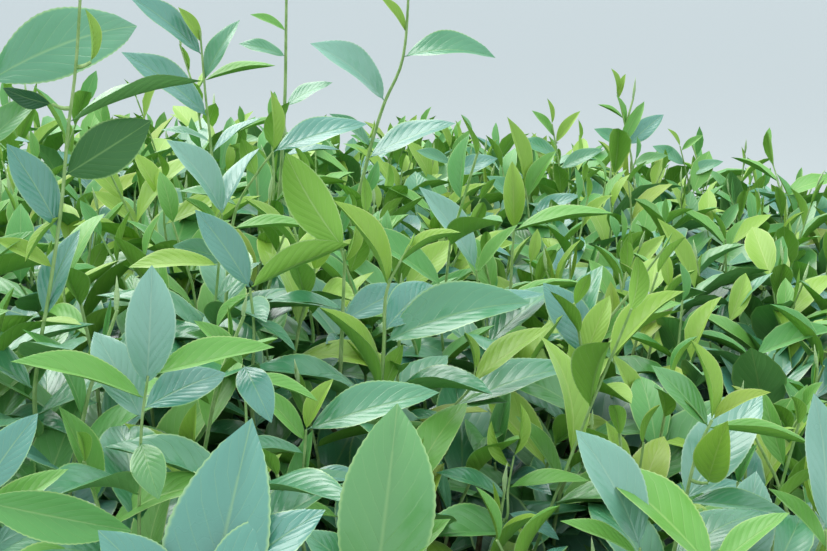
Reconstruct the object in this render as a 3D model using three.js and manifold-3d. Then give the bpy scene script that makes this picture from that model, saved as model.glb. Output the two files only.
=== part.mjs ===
// A plucked tea bush, in millimetres, +Z up, standing at the middle of its trunk's flat cut at ground level.
// The trunk forks low down into a frame of five main boughs, each of which carries two side boughs, and one
// bough up the middle. Every bough ends where it enters a mass of foliage. The masses lie side by side in a
// shell round an open middle, as leaves grow only where light reaches.

import * as THREE from "three";
import { mergeVertices } from "three/addons/utils/BufferGeometryUtils.js";
import Module from "manifold-3d";

const wasm = await Module();
wasm.setup();

// The crown: a broad flat-topped mound, a little lower towards +X.
const crown = {
  halfLength: 920,
  halfWidth: 750,
  waist: 400,
  table: 870,
  skirt: 110,
  shoulder: 3.8, // the higher, the flatter the table and the squarer its edge
  underside: 2.2,
  fall: 0.06,
};
const hollowShare = 0.6; // the open middle reaches this far out towards the crown's outline
const coreInset = 88; // the dense inside of a mass ends this far below the outline, where shoots stand out
const coreRound = 380; // how far out a core's corners are rounded off
const leafReach = 1.1; // no leaf ends further out than this, but for those of the tall shoots
const cellGap = 1.5; // from a mass to the plane between it and its neighbour
const groundClear = 25;

const trunk = { height: 150, groundRadius: 50, forkRadius: 40, flare: 0.28, lobes: 5, sides: 20, lean: 14 };
const frameBoughs = 5;
const mainBough = { base: 19, tip: 9 };
const sideBough = { base: 12, tip: 7 };
const middleBough = { base: 17, tip: 9 };
const boughSides = 6;
const boughSteps = 5;
const stemTip = 5;
const seatGap = 0.3; // between a limb and what it grows from, and between a bough's tip and its mass

const shoot = {
  spacing: 244,
  length: 168,
  stemRadius: 4.2,
  leaves: 5,
  lowest: 0.42, // share of the stem below its first leaf
  openLow: 76, // degrees between the stem and its lowest leaf
  openHigh: 34,
  openTip: 12,
};
const leaf = { length: 140, width: 56, thickness: 2.4, fold: 8, arch: 10, root: 2, shrink: 0.36 };
const turn = THREE.MathUtils.degToRad(137.5); // from each leaf on a shoot to the next
const upwardPull = 0.8; // how far shoots turn from the crown's outline up to the light
const sway = 0.32;

// Shoots that have grown past the table since the last plucking: place of the foot, height of the stem's tip,
// lean towards +X and +Y, and leaves. They stand closest together round the near left of the crown.
const tallShoots = [
  { at: [-428, -404], tip: 1055, lean: [17, -40], leaves: 7 },
  { at: [-460, -398], tip: 1020, lean: [12, -26], leaves: 5 },
  { at: [-318, -300], tip: 965, lean: [20, -12], leaves: 5 },
  { at: [-271, -368], tip: 925, lean: [-2, -4], leaves: 4 },
  { at: [-259, -400], tip: 935, lean: [10, -10], leaves: 5 },
  { at: [-112, -360], tip: 915, lean: [26, -18], leaves: 4 },
  { at: [-405, -568], tip: 930, lean: [2, -4], leaves: 4 },
  { at: [-165, -546], tip: 900, lean: [6, -6], leaves: 4 },
  { at: [-268, -10], tip: 1000, lean: [-16, -12], leaves: 6 },
  { at: [-211, 22], tip: 1040, lean: [0, -16], leaves: 6 },
  { at: [-142, 24], tip: 1025, lean: [26, -24], leaves: 5 },
  { at: [-215, 360], tip: 960, lean: [-16, 8], leaves: 4 },
  { at: [160, 130], tip: 940, lean: [10, 12], leaves: 4 },
  { at: [330, -190], tip: 915, lean: [16, -12], leaves: 4 },
  { at: [470, 180], tip: 905, lean: [-8, 16], leaves: 4 },
  { at: [-560, 130], tip: 950, lean: [-16, 8], leaves: 4 },
];

const bark = new THREE.MeshStandardMaterial({ color: 0x6b5a48, roughness: 0.9, metalness: 0 });
const foliage = new THREE.MeshStandardMaterial({ color: 0x4f9a3c, roughness: 0.5, metalness: 0 });

const up = new THREE.Vector3(0, 0, 1);
const point = (x, y, z) => new THREE.Vector3(x, y, z);

// The same numbers between 0 and 1 on every run, for a given seed.
function numbersFrom(seed) {
  let state = seed >>> 0;
  return () => {
    state = (Math.imul(state, 1664525) + 1013904223) >>> 0;
    return state / 4294967296;
  };
}
const about = (random) => 2 * random() - 1;

// How far out a point lies: 0 at the crown's middle and 1 on its outline. The hollow goes on to the ground.
function outwardShare(p, openBelow = false) {
  const rise = p.z - crown.waist;
  const above = crown.table - crown.fall * p.x - crown.waist;
  const below = crown.waist - crown.skirt;
  const tall = rise > 0 ? rise / above : openBelow ? 0 : -rise / below;
  const wide = Math.hypot(p.x / crown.halfLength, p.y / crown.halfWidth);
  const n = rise > 0 ? crown.shoulder : crown.underside;
  return (wide ** n + tall ** n) ** (1 / n);
}

// The place on the outline at a heading round the crown, where slope runs from 0 on top to 180 below.
function outlinePoint(heading, slope, share = 1) {
  const wide = Math.sin(slope);
  const tall = Math.cos(slope);
  const n = tall > 0 ? crown.shoulder : crown.underside;
  const size = share / (Math.abs(wide) ** n + Math.abs(tall) ** n) ** (1 / n);
  const x = crown.halfLength * wide * size * Math.cos(heading);
  const y = crown.halfWidth * wide * size * Math.sin(heading);
  const above = crown.table - crown.fall * x - crown.waist;
  const below = crown.waist - crown.skirt;
  return point(x, y, crown.waist + tall * size * (tall > 0 ? above : below));
}

// Which way the outline nearest to a point faces.
function facingAt(p) {
  const rise = p.z - crown.waist;
  const n = rise > 0 ? crown.shoulder : crown.underside;
  const height = rise > 0 ? crown.table - crown.waist : crown.waist - crown.skirt;
  const sideways = Math.hypot(p.x / crown.halfLength, p.y / crown.halfWidth) ** (n - 2);
  return point(
    (sideways * p.x) / crown.halfLength ** 2,
    (sideways * p.y) / crown.halfWidth ** 2,
    (Math.sign(rise) * (Math.abs(rise) / height) ** (n - 1)) / height,
  ).normalize();
}

// Which way a shoot with its tip at a point grows: outwards, turned up towards the light.
function growingWay(p, random) {
  const stray = point(about(random), about(random), about(random) / 2).multiplyScalar(sway);
  return facingAt(p).addScaledVector(up, upwardPull).add(stray).normalize();
}

// Shoot tips spread evenly over the outline, ring below ring down to lastSlope.
function shootTips(spacing, random) {
  const lastSlope = THREE.MathUtils.degToRad(128);
  const step = Math.PI / 360;
  const meanHalf = (crown.halfLength + crown.halfWidth) / 2;
  const tips = [];
  const profile = (slope) => {
    const p = outlinePoint(Math.PI / 2, slope);
    return [(p.y / crown.halfWidth) * meanHalf, p.z];
  };
  let [radius, height] = profile(0);
  let travelled = spacing / 2;
  for (let slope = step; slope < lastSlope; slope += step) {
    const [nextRadius, nextHeight] = profile(slope);
    travelled += Math.hypot(nextRadius - radius, nextHeight - height);
    [radius, height] = [nextRadius, nextHeight];
    if (travelled < spacing) continue;
    travelled -= spacing;
    const count = Math.max(3, Math.round((2 * Math.PI * radius) / spacing));
    const start = random();
    for (let i = 0; i < count; i++) {
      const heading = (2 * Math.PI * (i + start + 0.3 * about(random))) / count;
      tips.push(outlinePoint(heading, slope + 0.25 * about(random) * (spacing / meanHalf)));
    }
  }
  return tips;
}

// A closed mesh as a solid that can be joined and cut.
function solidFrom(geometry) {
  const bare = geometry.index ? geometry.clone() : mergeVertices(geometry);
  bare.deleteAttribute("normal");
  bare.deleteAttribute("uv");
  const merged = mergeVertices(bare, 1e-4);
  return new wasm.Manifold(new wasm.Mesh({
    numProp: 3,
    vertProperties: merged.attributes.position.array,
    triVerts: new Uint32Array(merged.index.array),
  }));
}

// A solid's largest piece, with any sealed hollow filled and loose scraps dropped, as a geometry.
function geometryFrom(solid) {
  const pieces = solid.decompose().sort((a, b) => b.volume() - a.volume());
  const mesh = pieces[0].getMesh();
  const geometry = new THREE.BufferGeometry();
  geometry.setAttribute("position", new THREE.BufferAttribute(Float32Array.from(mesh.vertProperties), 3));
  geometry.setIndex(new THREE.BufferAttribute(Uint32Array.from(mesh.triVerts), 1));
  return geometry;
}

// A limb: a cylinder bent along its curve and drawn in towards the tip, with extra all round it where asked.
function limb(curve, baseRadius, tipRadius, extra = 0, sides = boughSides, steps = boughSteps) {
  const shape = new THREE.CylinderGeometry(1, 1, 1, sides, steps);
  const place = shape.attributes.position;
  const frames = curve.computeFrenetFrames(steps);
  for (let i = 0; i < place.count; i++) {
    const along = Math.round((place.getY(i) + 0.5) * steps);
    const share = along / steps;
    const radius = baseRadius + (tipRadius - baseRadius) * share ** 0.8 + extra;
    const at = curve.getPointAt(share)
      .addScaledVector(frames.normals[along], place.getX(i) * radius)
      .addScaledVector(frames.binormals[along], -place.getZ(i) * radius);
    place.setXYZ(i, at.x, at.y, at.z);
  }
  return solidFrom(shape);
}

// The trunk: a cylinder on a slight lean, with root ribs that spread towards the ground.
const trunkTop = point(trunk.lean, -trunk.lean / 2, trunk.height);
function trunkSolid(extra = 0) {
  const heights = 6;
  const shape = new THREE.CylinderGeometry(1, 1, 1, trunk.sides, heights);
  const place = shape.attributes.position;
  for (let i = 0; i < place.count; i++) {
    const share = place.getY(i) + 0.5;
    const angle = Math.atan2(place.getZ(i), place.getX(i));
    const spread = trunk.flare * (1 - share) ** 3;
    const rib = 1 + spread * (1 + 0.8 * Math.cos(trunk.lobes * angle));
    const round = share > 0.85 ? 1 - 0.9 * (share - 0.85) : 1;
    const taper = trunk.groundRadius + (trunk.forkRadius - trunk.groundRadius) * share;
    const radius = Math.hypot(place.getX(i), place.getZ(i)) * (taper * rib * round + extra);
    place.setXYZ(
      i,
      radius * Math.cos(angle) + trunkTop.x * share,
      -radius * Math.sin(angle) + trunkTop.y * share,
      trunk.height * share + (share === 1 ? extra : 0),
    );
  }
  return solidFrom(shape);
}

// The masses: one over the middle, a ring of five round it on top, and ten down the sides.
function massPlaces() {
  const places = [{ name: "foliage_top_middle", centre: point(0, 0, crown.waist + 376) }];
  const round = (2 * Math.PI) / frameBoughs;
  for (let k = 0; k < frameBoughs; k++) {
    const heading = round * (k + 0.25);
    places.push({ name: `foliage_top_${k + 1}`, centre: outlinePoint(heading, 0.58, 0.8), from: k, rank: 2 });
  }
  for (let k = 0; k < 2 * frameBoughs; k++) {
    const heading = (round * k) / 2;
    const centre = outlinePoint(heading, 1.5, 0.8);
    places.push({ name: `foliage_side_${k + 1}`, centre, from: Math.floor(k / 2), rank: k % 2 });
  }
  return places;
}
const masses = massPlaces();

// How far outside the crown's open middle a point lies.
const hollowDepth = (p) => (outwardShare(p, true) - hollowShare) * crown.halfWidth;

// How deep inside its mass's own space a point lies: less than 0 once it has left it.
function roomAt(mass, p) {
  let room = Infinity;
  for (const other of masses) {
    if (other === mass) continue;
    const between = other.centre.clone().sub(mass.centre);
    const middle = other.centre.clone().add(mass.centre).multiplyScalar(0.5);
    room = Math.min(room, middle.sub(p).dot(between) / between.length() - cellGap);
  }
  return Math.min(room, hollowDepth(p), p.z - groundClear);
}

// The boughs, from the trunk's fork to the hollow's edge in front of each mass.
function boughCurves() {
  for (const mass of masses) {
    const middle = point(0, 0, Math.min(crown.waist, mass.centre.z));
    const out = mass.centre.clone().sub(middle);
    const share = hollowShare / outwardShare(mass.centre, true);
    mass.entry = middle.clone().addScaledVector(out, share);
    mass.inward = out.normalize();
  }
  const round = (2 * Math.PI) / frameBoughs;
  const mains = [];
  for (let k = 0; k < frameBoughs; k++) {
    const mass = masses.find((m) => m.from === k && m.rank === 0);
    const random = numbersFrom(70 + k);
    const heading = round * k;
    const side = point(-Math.sin(heading), Math.cos(heading), 0);
    const at = (r, z) => point(r * Math.cos(heading), r * Math.sin(heading), z)
      .add(point(trunkTop.x, trunkTop.y, 0).multiplyScalar(Math.max(0, 1 - r / 300)));
    const far = Math.hypot(mass.entry.x, mass.entry.y);
    mains.push(new THREE.CatmullRomCurve3([
      at(trunk.forkRadius * 0.62, trunk.height - 42),
      at(trunk.forkRadius * 0.62 + far * 0.17, trunk.height + 50),
      at(far * 0.46, trunk.height + 120).addScaledVector(side, 16 * about(random)),
      at(far * 0.74, trunk.height + 205).addScaledVector(side, 14 * about(random)),
      mass.entry.clone().addScaledVector(mass.inward, -40),
      mass.entry.clone(),
    ]));
  }
  return masses.map((mass) => {
    const random = numbersFrom(170 + masses.indexOf(mass));
    if (mass.rank === 0) return { mass, curve: mains[mass.from], ...mainBough, on: null };
    const last = [mass.entry.clone().addScaledVector(mass.inward, -40), mass.entry.clone()];
    if (mass.from === undefined) {
      const route = [
        trunkTop.clone().add(point(0, 0, -30)),
        point(trunkTop.x * 0.6, 10, trunk.height + 130),
        point(-10, -8, trunk.height + 330),
      ];
      return { mass, curve: new THREE.CatmullRomCurve3([...route, ...last]), ...middleBough, on: null };
    }
    const start = mass.rank === 1 ? 0.42 : 0.3;
    const root = mains[mass.from].getPointAt(start);
    const away = last[0].clone().sub(root);
    const first = root.clone().addScaledVector(away, 0.3).addScaledVector(up, mass.rank === 1 ? 26 : -20);
    const second = root.clone().addScaledVector(away, 0.68)
      .add(point(about(random), about(random), 0).multiplyScalar(18));
    const curve = new THREE.CatmullRomCurve3([root, first, second, ...last]);
    return { mass, curve, ...sideBough, on: mass.from };
  });
}
const boughs = boughCurves();

// How far a mass's dense inside reaches from its centre: just short of the mass's own space, in soft lumps.
function coreReach(mass, way) {
  const keepFromEdge = 3;
  const keepFromHollow = 14;
  const farthest = 500;
  const step = 3;
  let reach = step;
  for (let far = step; far < farthest; far += step) {
    const p = mass.centre.clone().addScaledVector(way, far);
    if (roomAt(mass, p) < keepFromEdge || hollowDepth(p) < keepFromHollow) break;
    if (outwardShare(p.clone().addScaledVector(facingAt(p), coreInset)) > 1) break;
    reach = far;
  }
  const [a, b, c] = mass.lumps;
  const lump = 0.98 + 0.02 * Math.sin(4 * way.x + a) * Math.sin(4 * way.y + b) * Math.sin(4 * way.z + c);
  return lump * (reach ** -8 + coreRound ** -8) ** (-1 / 8);
}

// The dense inside of a mass: a ball pushed out in each direction.
function coreSolid(mass) {
  const shape = new THREE.IcosahedronGeometry(1, 2);
  const place = shape.attributes.position;
  for (let i = 0; i < place.count; i++) {
    const way = new THREE.Vector3().fromBufferAttribute(place, i).normalize();
    const at = mass.centre.clone().addScaledVector(way, coreReach(mass, way));
    place.setXYZ(i, at.x, at.y, at.z);
  }
  return solidFrom(shape);
}

// Whether a point lies well inside the core, where no twig needs to be drawn to it.
function deepInCore(mass, p) {
  const away = p.clone().sub(mass.centre);
  const far = away.length();
  return far < coreReach(mass, away.normalize()) - 14;
}

// A three-sided twig that runs to a point, from one place to another.
function twigSolid(from, to, radius) {
  const away = to.clone().sub(from);
  const shape = new THREE.ConeGeometry(radius, away.length(), 3);
  shape.translate(0, away.length() / 2, 0);
  shape.applyQuaternion(new THREE.Quaternion().setFromUnitVectors(point(0, 1, 0), away.normalize()));
  shape.translate(from.x, from.y, from.z);
  return solidFrom(shape);
}

// A leaf: an octahedron drawn out to the leaf's length and width, folded along its rib and arched. One that
// would leave its mass's space, or reach out of the crown, doesn't grow.
function leafSolid(mass, root, along, upper, size, reach) {
  const shape = new THREE.OctahedronGeometry(1, 0);
  const place = shape.attributes.position;
  const face = upper.clone().addScaledVector(along, -upper.dot(along)).normalize();
  const across = face.clone().cross(along);
  const widest = 0.45 * leaf.length * size;
  for (let i = 0; i < place.count; i++) {
    const [x, y, z] = [place.getX(i), place.getY(i), place.getZ(i)];
    const far = x > 0.5 ? leaf.length * size : x < -0.5 ? -leaf.root : widest;
    const middle = Math.abs(x) < 0.5 ? leaf.arch * size : 0;
    const fold = Math.abs(z) > 0.5 ? leaf.fold * size : 0;
    const at = root.clone()
      .addScaledVector(along, far)
      .addScaledVector(across, (y * leaf.width * size) / 2)
      .addScaledVector(face, middle - fold + (z * leaf.thickness) / 2);
    if (x > -0.5 && (roomAt(mass, at) < 0 || outwardShare(at) > reach)) return null;
    place.setXYZ(i, at.x, at.y, at.z);
  }
  return solidFrom(shape);
}

// A leafy shoot: its twig and the leaves round it, each turned on from the last, smaller and steeper upwards.
function shootSolids(mass, { base, tip, leaves, radius, reach }, random) {
  const away = tip.clone().sub(base);
  const length = away.length();
  const axis = away.clone().normalize();
  const aside = axis.clone().cross(Math.abs(axis.z) < 0.9 ? up : point(1, 0, 0)).normalize();
  if (roomAt(mass, base) < radius || roomAt(mass, tip) < radius) return [];
  const solids = [twigSolid(base, tip, radius)];
  if (!deepInCore(mass, base)) {
    solids.push(twigSolid(mass.centre, base.clone().addScaledVector(axis, length * 0.1), radius * 1.2));
  }
  let heading = random() * 2 * Math.PI;
  for (let i = 0; i < leaves; i++) {
    const share = i / (leaves - 1);
    const last = i === leaves - 1;
    const spread = last ? shoot.openTip : shoot.openLow + (shoot.openHigh - shoot.openLow) * share;
    const open = THREE.MathUtils.degToRad(spread);
    const out = aside.clone().applyAxisAngle(axis, heading);
    const along = axis.clone().multiplyScalar(Math.cos(open)).addScaledVector(out, Math.sin(open));
    const at = base.clone().addScaledVector(axis, length * (shoot.lowest + (0.94 - shoot.lowest) * share));
    const size = (1 - leaf.shrink * share) * (0.92 + 0.16 * random());
    const upper = last ? out.clone().negate() : axis;
    solids.push(leafSolid(mass, at, along, upper, size, reach));
    heading += turn;
  }
  return solids.filter(Boolean);
}

// Deals every shoot to the mass in whose space its tip lies.
function dealShoots() {
  const random = numbersFrom(11);
  for (const mass of masses) mass.shoots = [];
  const nearest = (p) => masses.reduce((a, b) => (b.centre.distanceTo(p) < a.centre.distanceTo(p) ? b : a));
  for (const tip of shootTips(shoot.spacing, random)) {
    const way = growingWay(tip, random);
    const base = tip.clone().addScaledVector(way, -shoot.length * (0.9 + 0.2 * random()));
    nearest(tip).shoots.push({ base, tip, leaves: shoot.leaves, radius: shoot.stemRadius, reach: leafReach });
  }
  for (const { at, tip, lean, leaves } of tallShoots) {
    const base = point(at[0], at[1], crown.table - crown.fall * at[0] - 90);
    const top = point(at[0] + lean[0], at[1] + lean[1], tip);
    nearest(base).shoots.push({ base, tip: top, leaves, radius: shoot.stemRadius * 1.15, reach: Infinity });
  }
}
dealShoots();

// One mass: its stem, its core, and the shoots that branch from them.
function massSolid(mass, bough) {
  const random = numbersFrom(300 + masses.indexOf(mass));
  mass.lumps = [random() * 6, random() * 6, random() * 6];
  const stemStart = mass.entry.clone().addScaledVector(mass.inward, seatGap + 0.05);
  const stemLine = new THREE.LineCurve3(stemStart, mass.centre);
  const stem = limb(stemLine, bough.tip * 0.92, stemTip, 0, boughSides, 1);
  const parts = [stem, coreSolid(mass)];
  for (const one of mass.shoots) parts.push(...shootSolids(mass, one, random));
  return wasm.Manifold.union(parts);
}

function named(name, geometry, material) {
  const mesh = new THREE.Mesh(geometry, material);
  mesh.name = name;
  return mesh;
}

const plant = new THREE.Group();
plant.name = "tea_bush";
plant.add(named("trunk", geometryFrom(trunkSolid()), bark));

const boughNames = (bough) => {
  const { from, rank } = bough.mass;
  return from === undefined ? "bough_middle" : `bough_${from + 1}_${["main", "side", "top"][rank]}`;
};
const trunkRoom = trunkSolid(seatGap);
const mainRooms = [];
for (const bough of boughs.filter((b) => b.mass.rank === 0)) {
  mainRooms[bough.mass.from] = limb(bough.curve, bough.base, bough.tip, seatGap);
}
for (const bough of boughs) {
  const whole = limb(bough.curve, bough.base, bough.tip);
  const room = bough.on === null ? trunkRoom : mainRooms[bough.on];
  plant.add(named(boughNames(bough), geometryFrom(whole.subtract(room)), bark));
}
for (const bough of boughs) {
  plant.add(named(bough.mass.name, geometryFrom(massSolid(bough.mass, bough)), foliage));
}

export default plant;
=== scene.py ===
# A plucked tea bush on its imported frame: bark, twigs, shoots and leaves. Metres, +Z up, ground at z = 0.
import math

import bpy
import numpy as np
from mathutils import Matrix, Vector, noise


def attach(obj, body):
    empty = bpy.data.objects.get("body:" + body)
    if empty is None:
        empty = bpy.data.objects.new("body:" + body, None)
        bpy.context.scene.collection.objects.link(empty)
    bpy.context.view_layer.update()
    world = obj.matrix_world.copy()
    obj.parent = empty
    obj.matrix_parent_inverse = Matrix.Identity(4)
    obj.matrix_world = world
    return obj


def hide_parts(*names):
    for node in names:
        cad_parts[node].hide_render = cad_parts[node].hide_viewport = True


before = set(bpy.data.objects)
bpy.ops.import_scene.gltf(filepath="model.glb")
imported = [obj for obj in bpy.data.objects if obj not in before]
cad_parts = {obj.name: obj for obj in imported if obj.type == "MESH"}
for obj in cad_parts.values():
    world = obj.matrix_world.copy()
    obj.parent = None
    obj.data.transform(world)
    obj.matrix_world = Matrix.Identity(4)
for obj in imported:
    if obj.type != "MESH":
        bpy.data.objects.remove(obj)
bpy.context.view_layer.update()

# Camera. It stands just outside the near left edge of the bush, a quarter of a metre above the plucked table,
# and looks down across it on a slight roll, so that the table fills the view and falls away to the right.
photo_width = 827
photo_height = 551
camera_place = Vector((-0.47, -1.02, 1.13))
camera_turn = math.radians(20)
camera_dip = math.radians(15.2)
camera_roll = math.radians(3.0)
field_across = math.radians(34)
camera_turned = (
    Matrix.Rotation(-camera_turn, 3, "Z")
    @ Matrix.Rotation(math.pi / 2 - camera_dip, 3, "X")
    @ Matrix.Rotation(camera_roll, 3, "Z")
)


def shown(name, data):
    """A new object, put into the scene."""
    thing = bpy.data.objects.new(name, data)
    bpy.context.scene.collection.objects.link(thing)
    return thing


camera_data = bpy.data.cameras.new("camera")
camera_data.sensor_width = 36
camera_data.angle = field_across
camera_data.clip_start = 0.01
camera = shown("camera", camera_data)
camera.matrix_world = Matrix.Translation(camera_place) @ camera_turned.to_4x4()
bpy.context.scene.camera = camera


def seen_at(pixel, distance):
    """The place that shows at a pixel of the view, at a distance from the camera."""
    focal = photo_width / 2 / math.tan(field_across / 2)
    ray = Vector((pixel[0] - photo_width / 2, photo_height / 2 - pixel[1], -focal)).normalized()
    return camera_place + camera_turned @ ray * distance


# Studio. A plain pale floor, an even pale sky with a little blue in it, and one broad soft lamp high up
# behind the bush, whose light slides over the leaves towards the camera.
floor_half = 300


def feed(node, inputs):
    """Gives a node's sockets, by name or number, a value each or the output that feeds it."""
    for socket, value in inputs.items():
        if isinstance(value, bpy.types.NodeSocket):
            node.id_data.links.new(value, node.inputs[socket])
        else:
            node.inputs[socket].default_value = value


def new_material(name, gloss=0.5):
    """A new material and its shader."""
    material = bpy.data.materials.new(name)
    material.use_nodes = True
    shader = material.node_tree.nodes["Principled BSDF"]
    shader.inputs["Specular IOR Level"].default_value = gloss
    return material, shader


floor_mesh = bpy.data.meshes.new("studio_floor")
floor_corners = [(x * floor_half, y * floor_half, 0) for x, y in ((-1, -1), (1, -1), (1, 1), (-1, 1))]
floor_mesh.from_pydata(floor_corners, [], [(0, 1, 2, 3)])
floor_paint, floor_shader = new_material("pale_floor")
feed(floor_shader, {"Base Color": (0.5, 0.5, 0.48, 1), "Roughness": 0.9})
floor_mesh.materials.append(floor_paint)
floor = shown("studio_floor", floor_mesh)

sky = bpy.data.worlds.new("even_sky")
sky.use_nodes = True
feed(sky.node_tree.nodes["Background"], {"Color": (0.8, 0.92, 1.0, 1), "Strength": 1.42})
bpy.context.scene.world = sky
bpy.context.scene.view_settings.view_transform = "Standard"

lamp_data = bpy.data.lights.new("soft_lamp", "AREA")
lamp_data.shape = "DISK"
lamp_data.size = 3.5
lamp_data.energy = 125
lamp_data.color = (1.0, 0.99, 0.96)
lamp = shown("soft_lamp", lamp_data)
lamp_place = Vector((-1.2, 2.2, 3.6))
lamp_aim = Vector((0, 0, 0.8))
lamp_turned = (lamp_aim - lamp_place).to_track_quat("-Z", "Y").to_matrix().to_4x4()
lamp.matrix_world = Matrix.Translation(lamp_place) @ lamp_turned


# Bark. Old tea wood is grey-brown, finely furrowed along the limb, with pale lichen where it is oldest. The
# furrows are one effect, which the old wood, the twigs and the green stems each take at their own scale.
def add_node(tree, kind, inputs, output=0, **settings):
    """The output of a new node of a tree, with its settings made and its inputs fed."""
    node = tree.nodes.new(kind)
    for name, value in settings.items():
        setattr(node, name, value)
    feed(node, inputs)
    return node.outputs[output]


def node_group(name, kind, takes, gives):
    """A new group of nodes, what comes into it and its end. Sockets are given by kind or by usual number."""
    tree = bpy.data.node_groups.new(name, kind)
    for way, sockets in (("INPUT", takes), ("OUTPUT", gives)):
        for title, value in sockets.items():
            number = {int: "Int", float: "Float"}.get(type(value))
            socket = tree.interface.new_socket(title, in_out=way, socket_type=f"NodeSocket{number or value}")
            if number:
                socket.default_value = value
    return tree, tree.nodes.new("NodeGroupInput").outputs, tree.nodes.new("NodeGroupOutput")


def worked_out(tree, operation, *values):
    """The outcome of a sum."""
    return add_node(tree, "ShaderNodeMath", dict(enumerate(values)), operation=operation)


def ranged(tree, value, edges, **settings):
    """A value carried from one range to another. edges names the ends of the ranges that aren't 0 and 1."""
    return add_node(tree, "ShaderNodeMapRange", {"Value": value, **edges}, **settings)


def band(tree, value, low, high):
    """Rises smoothly from 0 to 1 while a value goes from low to high."""
    return ranged(tree, value, {"From Min": low, "From Max": high}, interpolation_type="SMOOTHSTEP")


def cloudy(tree, place, scale, detail, roughness, more, **settings):
    """Cloudy noise over a place."""
    inputs = {"Vector": place, "Scale": scale, "Detail": detail, "Roughness": roughness, **more}
    return add_node(tree, "ShaderNodeTexNoise", inputs, **settings)


def mixed(tree, share, first, second):
    """A colour between two others."""
    return add_node(tree, "ShaderNodeMix", {0: share, 6: first, 7: second}, 2, data_type="RGBA")


def furrow_group():
    """Masks and a height for bark: furrows along the limb, flakes, and lichen."""
    takes = {"Furrow scale": 60.0, "Stretch": 0.18, "Lichen": 0.3}
    gives = {"Furrow": 0.0, "Lichen mask": 0.0, "Height": 0.0}
    group, given, result = node_group("bark_furrows", "ShaderNodeTree", takes, gives)
    place = add_node(group, "ShaderNodeTexCoord", {}, "Object")
    stretch = add_node(group, "ShaderNodeCombineXYZ", {"X": 1.0, "Y": 1.0, "Z": given["Stretch"]})
    along = add_node(group, "ShaderNodeVectorMath", {0: place, 1: stretch}, operation="MULTIPLY")
    furrows = cloudy(group, along, given["Furrow scale"], 6.0, 0.62, {"Distortion": 0.4})
    flaking = {"Vector": along, "Scale": given["Furrow scale"], "Randomness": 1.0}
    flakes = add_node(group, "ShaderNodeTexVoronoi", flaking, feature="DISTANCE_TO_EDGE")
    bare = worked_out(group, "SUBTRACT", 0.86, given["Lichen"])
    patches = cloudy(group, place, 26.0, 4.0, 0.6, {})
    feed(result, {
        "Furrow": furrows,
        "Lichen mask": band(group, patches, bare, worked_out(group, "ADD", bare, 0.07)),
        "Height": worked_out(group, "MULTIPLY_ADD", band(group, flakes, 0.0, 0.12), 0.35, furrows),
    })
    return group


bark_furrows = furrow_group()
lichen_grey = (0.36, 0.4, 0.3, 1)


def wood(name, dark, light, furrow_scale, stretch, lichen, relief):
    """Bark in two tones, with the pale grey-green of lichen over it."""
    material, shader = new_material(name, 0.25)
    tree = material.node_tree
    scales = {"Furrow scale": furrow_scale, "Stretch": stretch, "Lichen": lichen}
    furrows = add_node(tree, "ShaderNodeGroup", scales, node_tree=bark_furrows).node.outputs
    tones = add_node(tree, "ShaderNodeValToRGB", {"Fac": furrows["Furrow"]})
    for stop, position, colour in zip(tones.node.color_ramp.elements, (0.36, 0.66), (dark, light)):
        stop.position = position
        stop.color = (*colour, 1)
    relieved = {"Strength": 0.6, "Distance": relief, "Height": furrows["Height"]}
    feed(shader, {
        "Base Color": mixed(tree, furrows["Lichen mask"], tones, lichen_grey),
        "Roughness": ranged(tree, furrows["Furrow"], {"To Min": 0.92, "To Max": 0.72}),
        "Normal": add_node(tree, "ShaderNodeBump", relieved),
    })
    return material


old_bark = wood("old_bark", (0.045, 0.032, 0.022), (0.22, 0.175, 0.13), 70, 0.2, 0.3, 0.003)


# Trunk. One short stem, cut flat at the ground, that swells into root ribs below and ends in the knuckle from
# which the boughs fork. Years of low cutting have left it thick and knotted for its height.
trunk_height = 0.150
trunk_ground_radius = 0.050
trunk_fork_radius = 0.040
trunk_flare = 0.28
trunk_ribs = 5
trunk_top = Vector((0.014, -0.007, trunk_height))
trunk_rings = 54
trunk_sides = 96
furrow_relief = 0.0042
knot_relief = 0.004
rib_depth = 0.8
rounded_from = 0.85
rounding = 6
crown_of_knuckle = 0.003


def trunk_mesh():
    """The source's trunk, drawn finely: ribs spread towards the ground, and furrows run up it."""
    places = []
    for ring in range(trunk_rings + 1):
        share = ring / trunk_rings
        taper = trunk_ground_radius + (trunk_fork_radius - trunk_ground_radius) * share
        rounded = 1 - rounding * max(0, share - rounded_from) ** 1.5
        spread = trunk_flare * (1 - share) ** 3
        for side in range(trunk_sides):
            angle = 2 * math.pi * side / trunk_sides
            rib = 1 + spread * (1 + rib_depth * math.cos(trunk_ribs * angle))
            around = Vector((math.cos(angle), math.sin(angle), 0))
            furrow = noise.fractal((around.x * 3.2, around.y * 3.2, share * 2.2), 0.7, 2.1, 5)
            knot = noise.noise(Vector((around.x * 1.1, around.y * 1.1, share * 2.6 + 7)))
            radius = taper * rib * rounded + furrow_relief * furrow - 0.001 + knot_relief * knot * share
            places.append(around * radius + trunk_top * share)
    places.append(trunk_top + Vector((0, 0, crown_of_knuckle)))
    faces = []
    for start in range(0, trunk_rings * trunk_sides, trunk_sides):
        for side in range(trunk_sides):
            around = start + (side + 1) % trunk_sides
            faces.append((start + side, around, around + trunk_sides, start + side + trunk_sides))
    faces.append(tuple(reversed(range(trunk_sides))))
    last = trunk_rings * trunk_sides
    for side in range(trunk_sides):
        faces.append((last + side, last + (side + 1) % trunk_sides, len(places) - 1))
    mesh = bpy.data.meshes.new("trunk_wood")
    mesh.from_pydata(places, [], faces)
    mesh.polygons.foreach_set("use_smooth", [len(face) < 5 for face in faces])
    mesh.materials.append(old_bark)
    return mesh


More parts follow.
